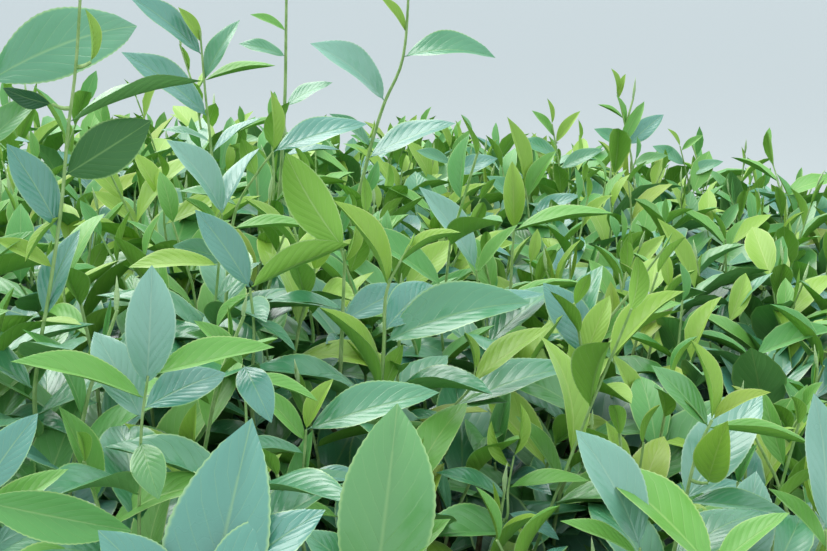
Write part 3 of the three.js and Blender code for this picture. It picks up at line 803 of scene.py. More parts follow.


# Standing shoots. Some long shoots have escaped the last plucking: they stand above the table at the near
# left, round the middle and on the far edge, where the photograph shows them. One is its distance from the
# camera, its girth, its stem's pixels from the foot up, and its leaves. A leaf is its kind, its root's and
# tip's pixels, where its upper side looks (right, up, nearer), its shape, its tone, and how much further off
# its tip is, if it is.
# A grown leaf of tone 3 has the painted whitish sky sheen in its colour.
flat_on = (0, 0.3, 0.95)
lying = (0, 0.92, 0.38)
rising = (0, 0.6, 0.8)
standing_shoots = {
    "tall_left": (0.58, 0.0015, [(40, 345), (48, 300), (62, 200), (68, 130), (75, 75), (79, 20), (83, -62)], [
        ("bud", (83, -62), (84, -96), rising, 2, 1),
        ("young", (82, -48), (128, -104), flat_on, 3, 2),
        ("young", (80, -24), (22, -66), flat_on, 3, 1),
        ("young", (91, 62), (85, 8), (0.9, 0.1, 0.4), 4, 2),
        ("old", (52, 104), (2, 88), (0, -0.7, 0.7), 1, 0),
        ("grown", (72, 128), (205, 80), (0, 1, 0.06), 3, 2, 0.012),
        ("old", (70, 178), (158, 125), (-0.4, -0.3, 0.85), 0, 2),
        ("young", (60, 212), (24, 262), (-0.7, 0.5, 0.5), 3, 2),
        ("grown", (54, 222), (8, 142), (0.5, 0.2, 0.8), 2, 0),
        ("young", (50, 268), (-6, 238), (0, 0.7, 0.7), 2, 2),
        ("grown", (46, 320), (80, 228), (-0.5, 0.2, 0.8), 1, 0),
    ]),
    "beyond_edge": (0.64, 0.0016, [(-34, 330), (-26, 200), (-16, 100), (-14, 70)], [
        ("grown", (-14, 82), (150, 32), (0.1, 0.3, 0.93), 0, 1, 0.02),
        ("young", (-15, 90), (-30, 10), flat_on, 3, 1),
        ("grown", (-20, 150), (44, 98), (0.3, 0.6, 0.7), 3, 2),
    ]),
    "curling": (0.72, 0.0013, [(214, 320), (219, 262), (222, 214)], [
        ("grown", (222, 214), (165, 138), (0.45, 0.6, 0.66), 4, 3),
        ("grown", (224, 210), (263, 147), (-0.7, 0.3, 0.66), 3, 0, 0.02),
        ("young", (221, 228), (183, 196), lying, 3, 1),
        ("young", (219, 262), (128, 268), (0.1, 0.85, 0.5), 1, 2),
        ("grown", (216, 300), (262, 262), lying, 2, 1),
    ]),
    "forked": (0.74, 0.0013, [(226, 300), (236, 210), (258, 172), (273, 152)], [
        ("young", (274, 150), (273, 90), (0.8, 0.1, 0.5), 3, 2),
        ("grown", (273, 154), (369, 125), (0.05, 0.75, 0.65), 2, 0, 0.01),
        ("young", (236, 232), (315, 228), lying, 2, 1),
        ("grown", (238, 206), (178, 190), lying, 3, 2),
        ("grown", (230, 262), (172, 246), flat_on, 1, 1),
    ]),
    "upright_leaf": (0.69, 0.0014, [(252, 380), (254, 330), (250, 288)], [
        ("grown", (250, 288), (196, 208), (0.4, 0.35, 0.85), 2, 0),
        ("young", (252, 292), (216, 330), lying, 4, 1),
        ("young", (251, 286), (349, 240), (0, 0.7, -0.6), 3, 1),
        ("grown", (253, 318), (296, 352), (0.3, 0.8, 0.4), 2, 1),
    ]),
    "pale_underside": (0.7, 0.0015, [(338, 400), (342, 330), (345, 250)], [
        ("young", (345, 250), (277, 153), (-0.35, 0.2, -0.9), 0, 1, -0.01),
        ("young", (344, 262), (356, 216), (0.8, 0.2, 0.5), 4, 2),
        ("grown", (342, 306), (268, 300), lying, 3, 1),
        ("grown", (342, 322), (412, 288), (0, 0.55, 0.83), 2, 0, 0.03),
        ("old", (340, 352), (290, 392), (-0.2, 0.7, 0.6), 2, 1),
    ]),
    "middle": (0.67, 0.0015, [(380, 400), (384, 345), (387, 290), (400, 262), (410, 246)], [
        ("wrapped", (408, 250), (415, 232), (1, 0, 0.3), 1, 1),
        ("young", (400, 264), (462, 232), (0, 0.9, 0.42), 4, 2, -0.008),
        ("young", (386, 282), (332, 199), (0.35, 0.75, 0.55), 4, 2, -0.01),
        ("grown", (386, 345), (534, 302), (-0.1, 0.62, 0.76), 4, 1, 0.008),
        ("grown", (386, 332), (440, 286), (0, 0.5, 0.85), 0, 0, 0.03),
        ("young", (382, 392), (318, 306), (0.45, 0.85, 0.3), 4, 2, -0.02),
        ("young", (381, 398), (404, 344), (-0.5, 0.2, -0.8), 1, 2),
    ]),
    "beside_middle": (0.7, 0.0012, [(446, 452), (452, 410), (470, 388), (476, 366)], [
        ("young", (475, 370), (464, 331), (0.8, 0.2, 0.5), 4, 2),
        ("young", (472, 386), (549, 327), (0.1, 0.9, 0.4), 1, 2),
        ("grown", (452, 408), (509, 404), (0, 0.85, 0.5), 3, 2),
        ("grown", (454, 408), (584, 367), (0, 0.9, 0.4), 2, 1, 0.02),
        ("grown", (450, 416), (396, 420), lying, 2, 1),
    ]),
    "low_buds": (0.66, 0.0012, [(506, 520), (508, 490), (514, 456)], [
        ("young", (514, 457), (520, 402), (0.8, 0.2, 0.5), 4, 2),
        ("young", (511, 470), (491, 420), (-0.8, 0.2, 0.5), 4, 2),
        ("young", (508, 488), (590, 482), lying, 2, 1),
        ("grown", (507, 498), (436, 470), lying, 3, 1),
        ("grown", (506, 510), (560, 540), (0.2, 0.8, 0.5), 1, 0),
    ]),
    "shining_leaf": (0.79, 0.0013, [(486, 340), (480, 300), (476, 270)], [
        ("grown", (476, 270), (422, 184), (0.4, 0.55, 0.72), 3, 3),
        ("young", (477, 274), (520, 226), (-0.4, 0.6, 0.6), 3, 1),
        ("grown", (480, 298), (430, 300), lying, 2, 2),
    ]),
    "long_green": (0.95, 0.0013, [(510, 300), (512, 262), (514, 230)], [
        ("young", (514, 232), (614, 214), lying, 2, 1),
        ("young", (514, 230), (512, 160), flat_on, 4, 2),
        ("grown", (512, 256), (456, 246), lying, 3, 0),
    ]),
    "broad_blue": (0.77, 0.0014, [(580, 420), (584, 390), (590, 350), (640, 280), (664, 248)], [
        ("wrapped", (660, 253), (673, 232), (0.7, 0.3, 0.6), 2, 1),
        ("grown", (589, 360), (546, 276), (0.12, 0.35, 0.93), 0, 0),
        ("young", (596, 346), (652, 304), (0, 0.5, 0.8), 2, 1),
        ("grown", (584, 388), (660, 392), lying, 3, 1),
        ("young", (588, 372), (548, 376), lying, 2, 2),
    ]),
    "white_blue_leaf": (0.58, 0.0015, [(636, 600), (640, 548)], [
        ("grown", (642, 550), (574, 427), (0.25, 0.5, 0.83), 4, 3),
        ("young", (639, 560), (560, 520), lying, 2, 1),
    ]),
    "near_right": (0.565, 0.0015, [(716, 600), (712, 560)], [
        ("young", (716, 566), (596, 461), (0.45, 0.62, 0.64), 1, 1, 0.03),
        ("young", (713, 570), (790, 512), lying, 1, 1),
    ]),
    "round_leaf": (0.6, 0.0014, [(672, 560), (684, 506), (698, 450), (712, 420)], [
        ("young", (708, 483), (727, 420), (-0.2, 0.45, 0.87), 1, 2, -0.035),
        ("grown", (690, 500), (762, 394), (-0.55, 0.4, 0.75), 1, 3, 0.02),
        ("grown", (706, 424), (652, 364), (0.4, 0.3, 0.85), 2, 2),
        ("young", (711, 420), (690, 338), (0.6, 0.4, 0.6), 4, 2),
        ("young", (708, 424), (672, 388), (0.3, 0.8, 0.5), 3, 2),
        ("young", (712, 420), (772, 392), (0, 0.8, 0.6), 4, 3),
        ("young", (711, 426), (812, 446), (0.3, 0.9, 0.2), 3, 1),
        ("grown", (684, 508), (618, 470), lying, 3, 2),
        ("grown", (686, 504), (792, 520), lying, 3, 1),
    ]),
    "right_edge": (0.6, 0.0014, [(830, 590), (826, 530)], [
        ("grown", (826, 530), (816, 392), (0.3, 0.3, 0.9), 2, 3),
        ("young", (827, 545), (770, 486), lying, 3, 1),
    ]),
    "near_star": (0.55, 0.0011, [(140, 470), (142, 420), (148, 376)], [
        ("grown", (146, 384), (152, 262), (0.25, 0.3, 0.92), 4, 3),
        ("young", (144, 400), (12, 357), (0, 0.85, 0.5), 3, 1),
        ("young", (147, 376), (276, 352), (0.1, 0.8, 0.55), 3, 1),
        ("grown", (143, 412), (226, 372), (0.2, 0.7, 0.65), 1, 0, 0.02),
        ("grown", (142, 420), (96, 330), (0.2, 0.4, 0.85), 2, 3, 0.02),
        ("grown", (141, 440), (160, 500), (0, 0.5, 0.85), 1, 2, -0.02),
    ]),
    "hanging_leaf": (0.56, 0.001, [(248, 470), (246, 410), (244, 366)], [
        ("grown", (244, 368), (268, 428), (0.1, 0.4, 0.9), 0, 0, -0.02),
        ("young", (244, 366), (196, 318), (0.1, 0.7, 0.7), 3, 1),
        ("young", (245, 380), (318, 402), lying, 2, 1),
    ]),
    "low_middle": (0.61, 0.0012, [(300, 540), (303, 480), (306, 430)], [
        ("grown", (306, 434), (442, 398), (0, 0.75, 0.65), 3, 1),
        ("young", (305, 438), (258, 384), (0.3, 0.5, 0.8), 3, 1),
        ("young", (306, 431), (334, 378), (-0.3, 0.5, 0.8), 4, 2),
        ("grown", (304, 452), (232, 446), lying, 3, 1),
        ("grown", (303, 474), (378, 486), lying, 2, 0),
        ("grown", (302, 492), (246, 516), lying, 1, 1),
    ]),
    "nearest_left": (0.46, 0.0012, [(170, 700), (186, 650), (194, 610)], [
        ("grown", (192, 680), (268, 420), (-0.15, 0.35, 0.93), 3, 0),
        ("grown", (190, 620), (96, 530), (0, 0.7, 0.7), 1, 0),
        ("grown", (194, 612), (326, 508), (0, 0.75, 0.65), 1, 0),
    ]),
    "nearest_middle": (0.52, 0.0012, [(370, 640), (372, 600), (374, 570)], [
        ("grown", (370, 620), (398, 398), (0.1, 0.35, 0.93), 4, 2),
        ("young", (373, 585), (452, 520), (0, 0.75, 0.65), 2, 1),
        ("grown", (372, 590), (300, 530), (0, 0.8, 0.6), 1, 1),
    ]),
    "nearest_edge": (0.52, 0.0012, [(-40, 620), (-34, 560), (-24, 500)], [
        ("young", (-24, 506), (132, 534), (0, 0.15, 0.97), 2, 0),
        ("grown", (-26, 500), (38, 412), (0.2, 0.6, 0.75), 1, 0),
        ("young", (-30, 540), (70, 470), (0, 0.8, 0.6), 2, 1),
    ]),
    "far_first": (1.02, 0.0016, [(214, 230), (212, 160), (205, 90), (200, 30)], [
        ("young", (202, 40), (180, 6), (0.3, 0.5, 0.8), 3, 2),
        ("grown", (203, 60), (128, -6), (0.3, 0.6, 0.75), 2, 0),
        ("grown", (206, 118), (120, 52), (0.3, 0.7, 0.65), 1, 0),
        ("grown", (205, 80), (241, 20), (-0.3, 0.5, 0.8), 2, 1),
        ("young", (205, 84), (276, 66), lying, 2, 1),
        ("grown", (210, 140), (160, 130), lying, 1, 1),
        ("grown", (213, 150), (262, 118), lying, 2, 0),
    ]),
    "far_second": (1.06, 0.0018, [(276, 240), (280, 190), (285, 95), (286, 30), (287, -48)], [
        ("bud", (287, -48), (288, -68), rising, 2, 1),
        ("young", (287, -40), (318, -78), flat_on, 3, 2),
        ("young", (287, -24), (246, -50), flat_on, 2, 1),
        ("young", (286, 26), (250, 14), (0.2, 0.7, 0.7), 2, 1),
        ("grown", (285, 104), (333, 82), (0, 0.8, 0.6), 1, 1),
        ("grown", (285, 60), (238, 44), (0.2, 0.7, 0.7), 1, 1),
        ("young", (284, 120), (240, 130), lying, 3, 1),
        ("grown", (282, 160), (340, 150), lying, 2, 0),
    ]),
    "far_third": (1.08, 0.0018, [(352, 240), (366, 165), (384, 104), (402, 62), (410, -30)], [
        ("bud", (410, -30), (411, -50), rising, 2, 1),
        ("young", (410, -24), (446, -58), flat_on, 3, 2),
        ("grown", (402, 60), (498, 58), (0.0, 0.7, 0.7), 4, 1),
        ("grown", (386, 98), (308, 42), (0.3, 0.6, 0.75), 4, 3),
        ("grown", (366, 158), (457, 124), (0, 0.8, 0.6), 2, 0),
        ("grown", (370, 150), (330, 112), (0.3, 0.7, 0.6), 3, 1),
        ("young", (405, 30), (380, -6), (0.5, 0.5, 0.7), 3, 2),
    ]),
    "edge_first": (1.2, 0.0014, [(536, 262), (530, 224), (526, 188)], [
        ("young", (526, 190), (510, 116), (0.6, 0.3, 0.75), 3, 2),
        ("young", (527, 196), (557, 150), (-0.3, 0.5, 0.8), 4, 1),
        ("grown", (529, 208), (486, 176), (0.2, 0.6, 0.75), 1, 1),
        ("grown", (531, 216), (580, 196), (0, 0.7, 0.7), 2, 0),
    ]),
    "edge_second": (1.32, 0.0014, [(566, 216), (560, 170), (552, 124)], [
        ("young", (552, 126), (548, 98), (0.7, 0.2, 0.6), 3, 2),
        ("young", (553, 134), (532, 110), (0.4, 0.5, 0.75), 2, 1),
        ("young", (555, 142), (582, 112), (-0.3, 0.5, 0.8), 3, 2),
        ("grown", (558, 158), (520, 140), (0.1, 0.6, 0.75), 1, 1),
        ("grown", (561, 172), (604, 150), (0, 0.6, 0.8), 2, 1),
    ]),
    "edge_third": (1.42, 0.0015, [(640, 200), (630, 150), (622, 112), (617, 92)], [
        ("young", (617, 93), (611, 68), (0.6, 0.2, 0.7), 4, 2),
        ("young", (618, 98), (627, 74), (-0.6, 0.2, 0.7), 3, 2),
        ("young", (623, 116), (598, 104), lying, 3, 1),
        ("grown", (630, 148), (664, 114), (-0.2, 0.4, 0.9), 1, 0),
        ("grown", (631, 152), (594, 128), (0.2, 0.5, 0.85), 2, 1),
        ("grown", (634, 166), (668, 156), (0, 0.6, 0.8), 2, 2),
    ]),
    "edge_fourth": (1.46, 0.0014, [(694, 214), (688, 180), (680, 146)], [
        ("young", (680, 148), (668, 128), (0.6, 0.3, 0.7), 3, 2),
        ("young", (682, 152), (704, 136), (-0.3, 0.5, 0.8), 3, 1),
        ("grown", (685, 164), (652, 146), (0.2, 0.5, 0.8), 1, 1),
        ("grown", (688, 174), (724, 162), (0, 0.6, 0.8), 2, 1),
    ]),
    "edge_fifth": (1.22, 0.0013, [(448, 224), (452, 186), (450, 148)], [
        ("young", (450, 150), (440, 120), (0.5, 0.3, 0.8), 3, 2),
        ("young", (451, 156), (474, 130), (-0.3, 0.5, 0.8), 3, 1),
        ("grown", (452, 166), (416, 150), (0.2, 0.5, 0.8), 2, 1),
        ("grown", (452, 176), (498, 158), (0, 0.6, 0.8), 1, 0),
    ]),
}
arc_leaf_places = (0.3, 0.5, 0.66, 0.8, 0.92)
longest_gap = 0.04
on_the_stem = 0.004
inside_crown = 0.97
further_per_pixel = 0.0002
arc_depth = 0.6
stalk_sag = 0.1


def foot_inside(place, mass):
    """The first place inside the crown on the way from a place to its mass's centre."""
    foot = place.lerp(mass["centre"], 0.05)
    while outward_share(foot) > inside_crown:
        foot = foot.lerp(mass["centre"], 0.05)
    return foot


def stand_shoot(away, girth, stem, leaves, draw):
    """A standing shoot, with its leaves. Its stem runs down into the crown and hangs there on a brown twig;
    where it starts outside the crown it comes out in an arc, with a few leaves on the way."""
    seen = [seen_at(pixel, away + further_per_pixel * (pixel[1] - stem[-1][1])) for pixel in stem]
    mass = nearest_mass(seen[0])
    stems = groups[mass["group"]]["stems"]
    foot = foot_inside(seen[0], mass)
    lead = [foot]
    gap = (foot - seen[0]).length
    if gap > longest_gap:
        below = seen[0] - (seen[1] - seen[0]).normalized() * arc_depth * gap
        foot = foot_inside(below, mass)

        def on_arc(t):
            return foot.lerp(below, t).lerp(below.lerp(seen[0], t), t)

        lead = [on_arc(t) for t in (0.0, 0.25, 0.5, 0.75)]
        heading = draw() * 2 * math.pi
        for t in arc_leaf_places:
            out = Vector((math.cos(heading), math.sin(heading), 0.25 + 0.2 * draw())).normalized()
            length = 0.062 + 0.014 * draw()
            shape = int(draw() * shape_draws)
            add_leaf(mass, "grown", "fine", on_arc(t), out, up * 0.9 + out * 0.3, length, shape, 1)
            heading += turn_between_leaves
    points = smooth_path(lead + seen, 4 * (len(lead) + len(seen)))
    last = len(points) - 1
    stems.append([(p, girth * (1 - 0.5 * i / last)) for i, p in enumerate(points)])
    hang_twig(mass, foot, draw)
    for kind, root, tip, faces, shape, tone, *further in leaves:
        off = [(seen_at(root, (p - camera_place).length) - p).length for p in points]
        joint = points[off.index(min(off))]
        distance = (joint - camera_place).length
        at = joint
        if min(off) >= on_the_stem:
            at = seen_at(root, distance)
            stems.append(bent(joint, at, up * -stalk_sag * min(off), 3, girth * 0.7, girth * 0.5))
        along = seen_at(tip, distance + sum(further)) - at
        face = camera_turned @ Vector(faces)
        face = (face - along * face.dot(along) / along.length_squared).normalized()
        add_leaf(mass, kind, "fine", at, along.normalized(), face, along.length, shape, tone)


draw = chance(41)
for away, girth, stem, leaves in standing_shoots.values():
    stand_shoot(away, girth, stem, leaves, draw)

# Five more stand towards the back and the right, each a foot and a tip.
unseen_shoots = {
    "back_left": (Vector((-0.215, 0.36, 0.79)), Vector((-0.231, 0.368, 0.985))),
    "right_middle": (Vector((0.16, 0.13, 0.77)), Vector((0.17, 0.142, 0.965))),
    "right_front": (Vector((0.33, -0.19, 0.76)), Vector((0.346, -0.202, 0.94))),
    "right_back": (Vector((0.47, 0.18, 0.75)), Vector((0.462, 0.196, 0.93))),
    "far_left": (Vector((-0.56, 0.13, 0.81)), Vector((-0.576, 0.138, 0.975))),
}
unseen_kinds = [("grown", 0.074, 78), ("grown", 0.076, 72), ("grown", 0.072, 66), ("young", 0.066, 58)]
unseen_kinds += [("young", 0.06, 48), ("young", 0.05, 36), ("young", 0.034, 22), ("bud", 0.02, 5)]
for foot, tip in unseen_shoots.values():
    mass = nearest_mass(foot)
    hang_twig(mass, foot, draw)
    grow_shoot(mass, foot, tip, unseen_kinds, draw, outward_share(tip) + 0.12, 0.0017)

# Leaf blades. A tea leaf is a long ellipse with a drawn-out tip, folded a little along its rib, arched back
# and finely toothed. Each kind has a few shapes, each a thin closed shell with upper side and underside.
blade_thick = 0.011
stalk_half = 0.012
widest_at = 0.48
tip_drawn_out = 0.35
stalk_share = 0.05
fullness = 0.74
tooth_height = 0.0045


def half_width_at(t):
    """The share of a blade's half width at t along it, from its stalk at 0 to its tip at 1."""
    body = max(0.0, (t - stalk_share) / (1 - stalk_share))
    bend = math.log(0.5) / math.log(widest_at)
    outline = math.sin(math.pi * min(1.0, body) ** bend) ** fullness
    return outline * (1 - tip_drawn_out * t**5)


def shell_mesh(name, places, faces, maps, is_under):
    """A smooth mesh with a place on the leaf map for each point, and its underside's faces marked."""
    mesh = bpy.data.meshes.new(name)
    mesh.from_pydata(places, [], faces)
    mesh.polygons.foreach_set("use_smooth", [True] * len(faces))
    leaf_map = mesh.uv_layers.new(name="leaf_map")
    corner_points = [0] * len(mesh.loops)
    mesh.loops.foreach_get("vertex_index", corner_points)
    leaf_map.data.foreach_set("uv", [value for point in corner_points for value in maps[point]])
    mesh.attributes.new("underside", "BOOLEAN", "FACE").data.foreach_set("value", is_under)
    return mesh


def blade_mesh(name, width, fold, arch, sweep, wave, rows, inner, teeth):
    """A unit-long leaf along +Y, upper side to +Z. inner adds a line of points between rib and margin."""
    places = []
    maps = []
    first_share = 0.05 if inner else 0.14
    shares = [0.0] + [first_share + (1 - first_share) * i / (rows - 1) for i in range(rows)]
    spine = Vector((0, 0, 0))
    line = [(0.0, spine, -0.5 * arch)]
    for before, t in zip(shares, shares[1:]):
        tilt = -0.5 * arch + arch * (t + before) / 2
        spine = spine + Vector((0, math.cos(tilt), -math.sin(tilt))) * (t - before)
        line.append((t, spine, -0.5 * arch + arch * t))

    def place_at(t, centre, tilt, a, under=False, poke=0.0):
        """Adds a point at t along the blade and a across it, and gives its number."""
        half = max(stalk_half, width / 2 * half_width_at(t)) + poke
        ruffle = wave * math.sin(9 * t + 2 * a) * a * a * half
        lift = abs(a) * half * math.sin(fold) + 0.1 * half * math.sin(math.pi * abs(a)) + ruffle
        lift -= blade_thick * (1 - a * a) if under else 0
        normal = Vector((0, math.sin(tilt), math.cos(tilt)))
        places.append(centre + Vector((a * half * math.cos(fold) + sweep * t * t, 0, 0)) + normal * lift)
        maps.append((0.5 + 0.5 * a, t))
        return len(places) - 1

    columns = (-1, -0.55, 0, 0.55, 1) if inner else (-1, 0, 1)
    root = place_at(*line[0], 0)
    upper = []
    lower = []
    for station in line[1:-1]:
        row = [place_at(*station, a) for a in columns]
        upper.append(row)
        lower.append([row[0], *(place_at(*station, a, True) for a in columns[1:-1]), row[-1]])
    tip = place_at(*line[-1], 0)
    rims = {}
    for k, side in [(k, side) for k in range(len(upper) - 1) for side in (-1, 1)]:
        t0, c0, l0 = line[k + 1]
        t1, c1, l1 = line[k + 2]
        rims[k, side] = []
        for j in range(1, 2 * teeth):
            s = j / (2 * teeth)
            poke = tooth_height * (j % 2)
            station = (t0 + (t1 - t0) * s, c0.lerp(c1, s), l0 + (l1 - l0) * s)
            rims[k, side].append(place_at(*station, side, False, poke))
    faces = []
    is_under = []

    def add(a, b, c, flip):
        faces.append((a, c, b) if flip else (a, b, c))
        is_under.append(below)

    last = len(columns) - 1
    for rowset, below in ((upper, False), (lower, True)):
        for c in range(last):
            add(root, rowset[0][c + 1], rowset[0][c], below)
            add(tip, rowset[-1][c], rowset[-1][c + 1], below)
            left = c < last / 2
            ribward, edge = (c + 1, c) if left else (c, c + 1)
            for k, (row, next_row) in enumerate(zip(rowset, rowset[1:])):
                teeth_here = rims[k, -1 if left else 1] if edge in (0, last) else []
                rim = [row[edge], *teeth_here, next_row[edge]]
                half = len(rim) // 2
                for m, (p, q) in enumerate(zip(rim, rim[1:])):
                    add((row if m < half else next_row)[ribward], p, q, below != left)
                add(row[ribward], rim[half], next_row[ribward], below != left)
    mesh = shell_mesh(name, places, faces, maps, is_under)
    both = {}
    for face, below in zip(faces, is_under):
        for p, q in zip(face, face[1:] + face[:1]):
            both.setdefault(frozenset((p, q)), set()).add(below)
    sharp = mesh.attributes.new("sharp_edge", "BOOLEAN", "EDGE")
    sharp.data.foreach_set("value", [len(both[frozenset(edge.vertices)]) == 2 for edge in mesh.edges])
    return mesh


def bud_mesh(name, sides, bend):
    """A unit-long bud: a slim spindle, drawn to a point and a little bent."""
    places = [(0, 0, 0)]
    for t, radius in ((0.12, 0.055), (0.45, 0.075), (0.8, 0.03)):
        for side in range(sides):
            angle = 2 * math.pi * side / sides
            places.append((radius * math.cos(angle) + bend * t * t, t, radius * math.sin(angle)))
    places.append((bend, 1, 0))
    faces = []
    for side in range(sides):
        after = (side + 1) % sides
        faces.append((0, 1 + side, 1 + after))
        for a in (1, 1 + sides):
            faces.append((a + side, a + sides + side, a + sides + after, a + after))
        top = 1 + 2 * sides
        faces.append((top + after, top + side, len(places) - 1))
    return shell_mesh(name, places, faces, [(0.5, y) for _, y, _ in places], [False] * len(faces))


blade_detail = {
    "fine": {"rows": 9, "inner": True, "teeth": 3},
    "plain": {"rows": 7, "inner": True, "teeth": 0},
    "coarse": {"rows": 5, "inner": False, "teeth": 0},
}
special_detail = {
    ("wrapped", "fine"): blade_detail["plain"],
    ("old", "coarse"): {**blade_detail["coarse"], "rows": 4},
}
kind_shapes = {
    "old": {"width": (0.42, 0.48), "fold": (6, 18), "arch": (20, 55), "wave": 0.1},
    "grown": {"width": (0.39, 0.46), "fold": (8, 32), "arch": (15, 70), "wave": 0.08},
    "young": {"width": (0.35, 0.43), "fold": (16, 46), "arch": (5, 60), "wave": 0.05},
    "wrapped": {"width": (0.20, 0.26), "fold": (55, 70), "arch": (-20, 15), "wave": 0.02},
}
shapes_per_kind = 6
blade_sets = {}


def keep_blades(kind, detail, meshes):
    """Keeps the shapes of a kind of leaf as a collection, from which the leaves are picked."""
    blade_sets[kind, detail] = bpy.data.collections.new(f"{kind}_{detail}_blades")
    for mesh in meshes:
        blade_sets[kind, detail].objects.link(bpy.data.objects.new(mesh.name, mesh))


def between(ends, share):
    """The number at a share of the way between two."""
    return ends[0] + (ends[1] - ends[0]) * share


for kind, shape in kind_shapes.items():
    for detail, build in blade_detail.items():
        build = special_detail.get((kind, detail), build)
        draw = chance(900)
        meshes = []
        for k in range(shapes_per_kind):
            width = between(shape["width"], draw())
            fold = between([math.radians(x) for x in shape["fold"]], k / (shapes_per_kind - 1))
            arch = math.radians(between(shape["arch"], draw()))
            name = f"{kind}_{detail}_blade_{k}"
            meshes.append(blade_mesh(name, width, fold, arch, 0.07 * about(draw), shape["wave"], **build))
        keep_blades(kind, detail, meshes)
for detail, sides in (("fine", 6), ("plain", 5), ("coarse", 4)):
    keep_blades("bud", detail, [bud_mesh(f"bud_{detail}_{k}", sides, 0.1 - 0.2 * k) for k in range(2)])


# Leaf finishes. Grown leaves are deep bluish green and softly glossy above, paler and dull below; their blue
# tone is partly their own bluish green and partly a painted sky sheen, and their fourth tone is a painted
# whitish sky sheen.
# Young ones are yellow-green. All show a pale rib, a pale margin that is partly their own edge and partly a
# painted rim highlight, and side veins that quilt the blade between them.
vein_pairs = 9.0
vein_slant = 0.34
rib_width = 0.07
# The margin band is drawn pale: partly the leaf's own edge and partly a painted rim highlight.
rim_highlight_margin_width = 0.09


def vein_group():
    """Masks and a height on the leaf's own map: rib, side veins, margin (partly the leaf's own pale edge,
    partly a painted rim highlight) and the swell between veins.
    """
    gives = {"Rib": 0.0, "Veins": 0.0, "Margin": 0.0, "Height": 0.0}
    group, _, result = node_group("leaf_veins", "ShaderNodeTree", {}, gives)

    def work(*sum_of):
        return worked_out(group, *sum_of)

    mapped = add_node(group, "ShaderNodeUVMap", {}, uv_map="leaf_map")
    parts = add_node(group, "ShaderNodeSeparateXYZ", {0: mapped}).node.outputs
    off_rib = work("MULTIPLY", work("ABSOLUTE", work("SUBTRACT", parts["X"], 0.5)), 2.0)
    rib = work("SUBTRACT", 1.0, band(group, off_rib, 0.0, rib_width))
    slanted = work("SUBTRACT", parts["Y"], work("MULTIPLY", off_rib, vein_slant))
    off_vein = work("ABSOLUTE", work("SUBTRACT", work("FRACT", work("MULTIPLY", slanted, vein_pairs)), 0.5))
    fading = work("SUBTRACT", 1.0, band(group, off_rib, 0.7, 0.98))
    veins = work("MULTIPLY", band(group, off_vein, 0.43, 0.5), fading)
    swell = work("MULTIPLY", work("SUBTRACT", 0.5, off_vein), 1.6)
    sunk = work("MAXIMUM", rib, work("MULTIPLY", veins, 0.6))
    feed(result, {
        "Rib": rib,
        "Veins": veins,
        "Margin": band(group, off_rib, 1 - rim_highlight_margin_width, 1.0),
        "Height": work("SUBTRACT", work("MULTIPLY", swell, fading), sunk),
    })
    return group


leaf_veins = vein_group()


def leaf_finish(name, blade, shade, rib, rough, rib_strength=0.35, gloss=0.5, relief=0.0003):
    """A leaf's colours: blade mottled towards shade, with its rib, veins and margin drawn towards rib; the
    margin's pale band is partly a painted rim highlight.
    """
    material, shader = new_material(name, gloss)
    tree = material.node_tree
    veins = add_node(tree, "ShaderNodeGroup", {}, node_tree=leaf_veins).node.outputs
    mottle = cloudy(tree, add_node(tree, "ShaderNodeTexCoord", {}, "Object"), 34.0, 3.0, 0.6, {})
    blotches = ranged(tree, mottle, {"From Min": 0.35, "From Max": 0.65, "To Max": 0.35})
    body = mixed(tree, blotches, (*blade, 1), (*shade, 1))
    lines = worked_out(tree, "MAXIMUM", veins["Rib"], worked_out(tree, "MULTIPLY", veins["Veins"], 0.35))
    lines = worked_out(tree, "MULTIPLY", lines, rib_strength)
    # The margin is drawn towards the rib colour: partly the leaf's own pale edge, partly a painted rim
    # highlight.
    drawn = worked_out(tree, "MAXIMUM", lines, worked_out(tree, "MULTIPLY", veins["Margin"], 0.75))
    quilted = {"Strength": 0.42, "Distance": relief, "Height": veins["Height"]}
    feed(shader, {
        "Base Color": mixed(tree, drawn, body, (*rib, 1)),
        "Roughness": ranged(tree, mottle, {"To Min": rough - 0.05, "To Max": rough + 0.07}),
        "Normal": add_node(tree, "ShaderNodeBump", quilted),
    })
    return material


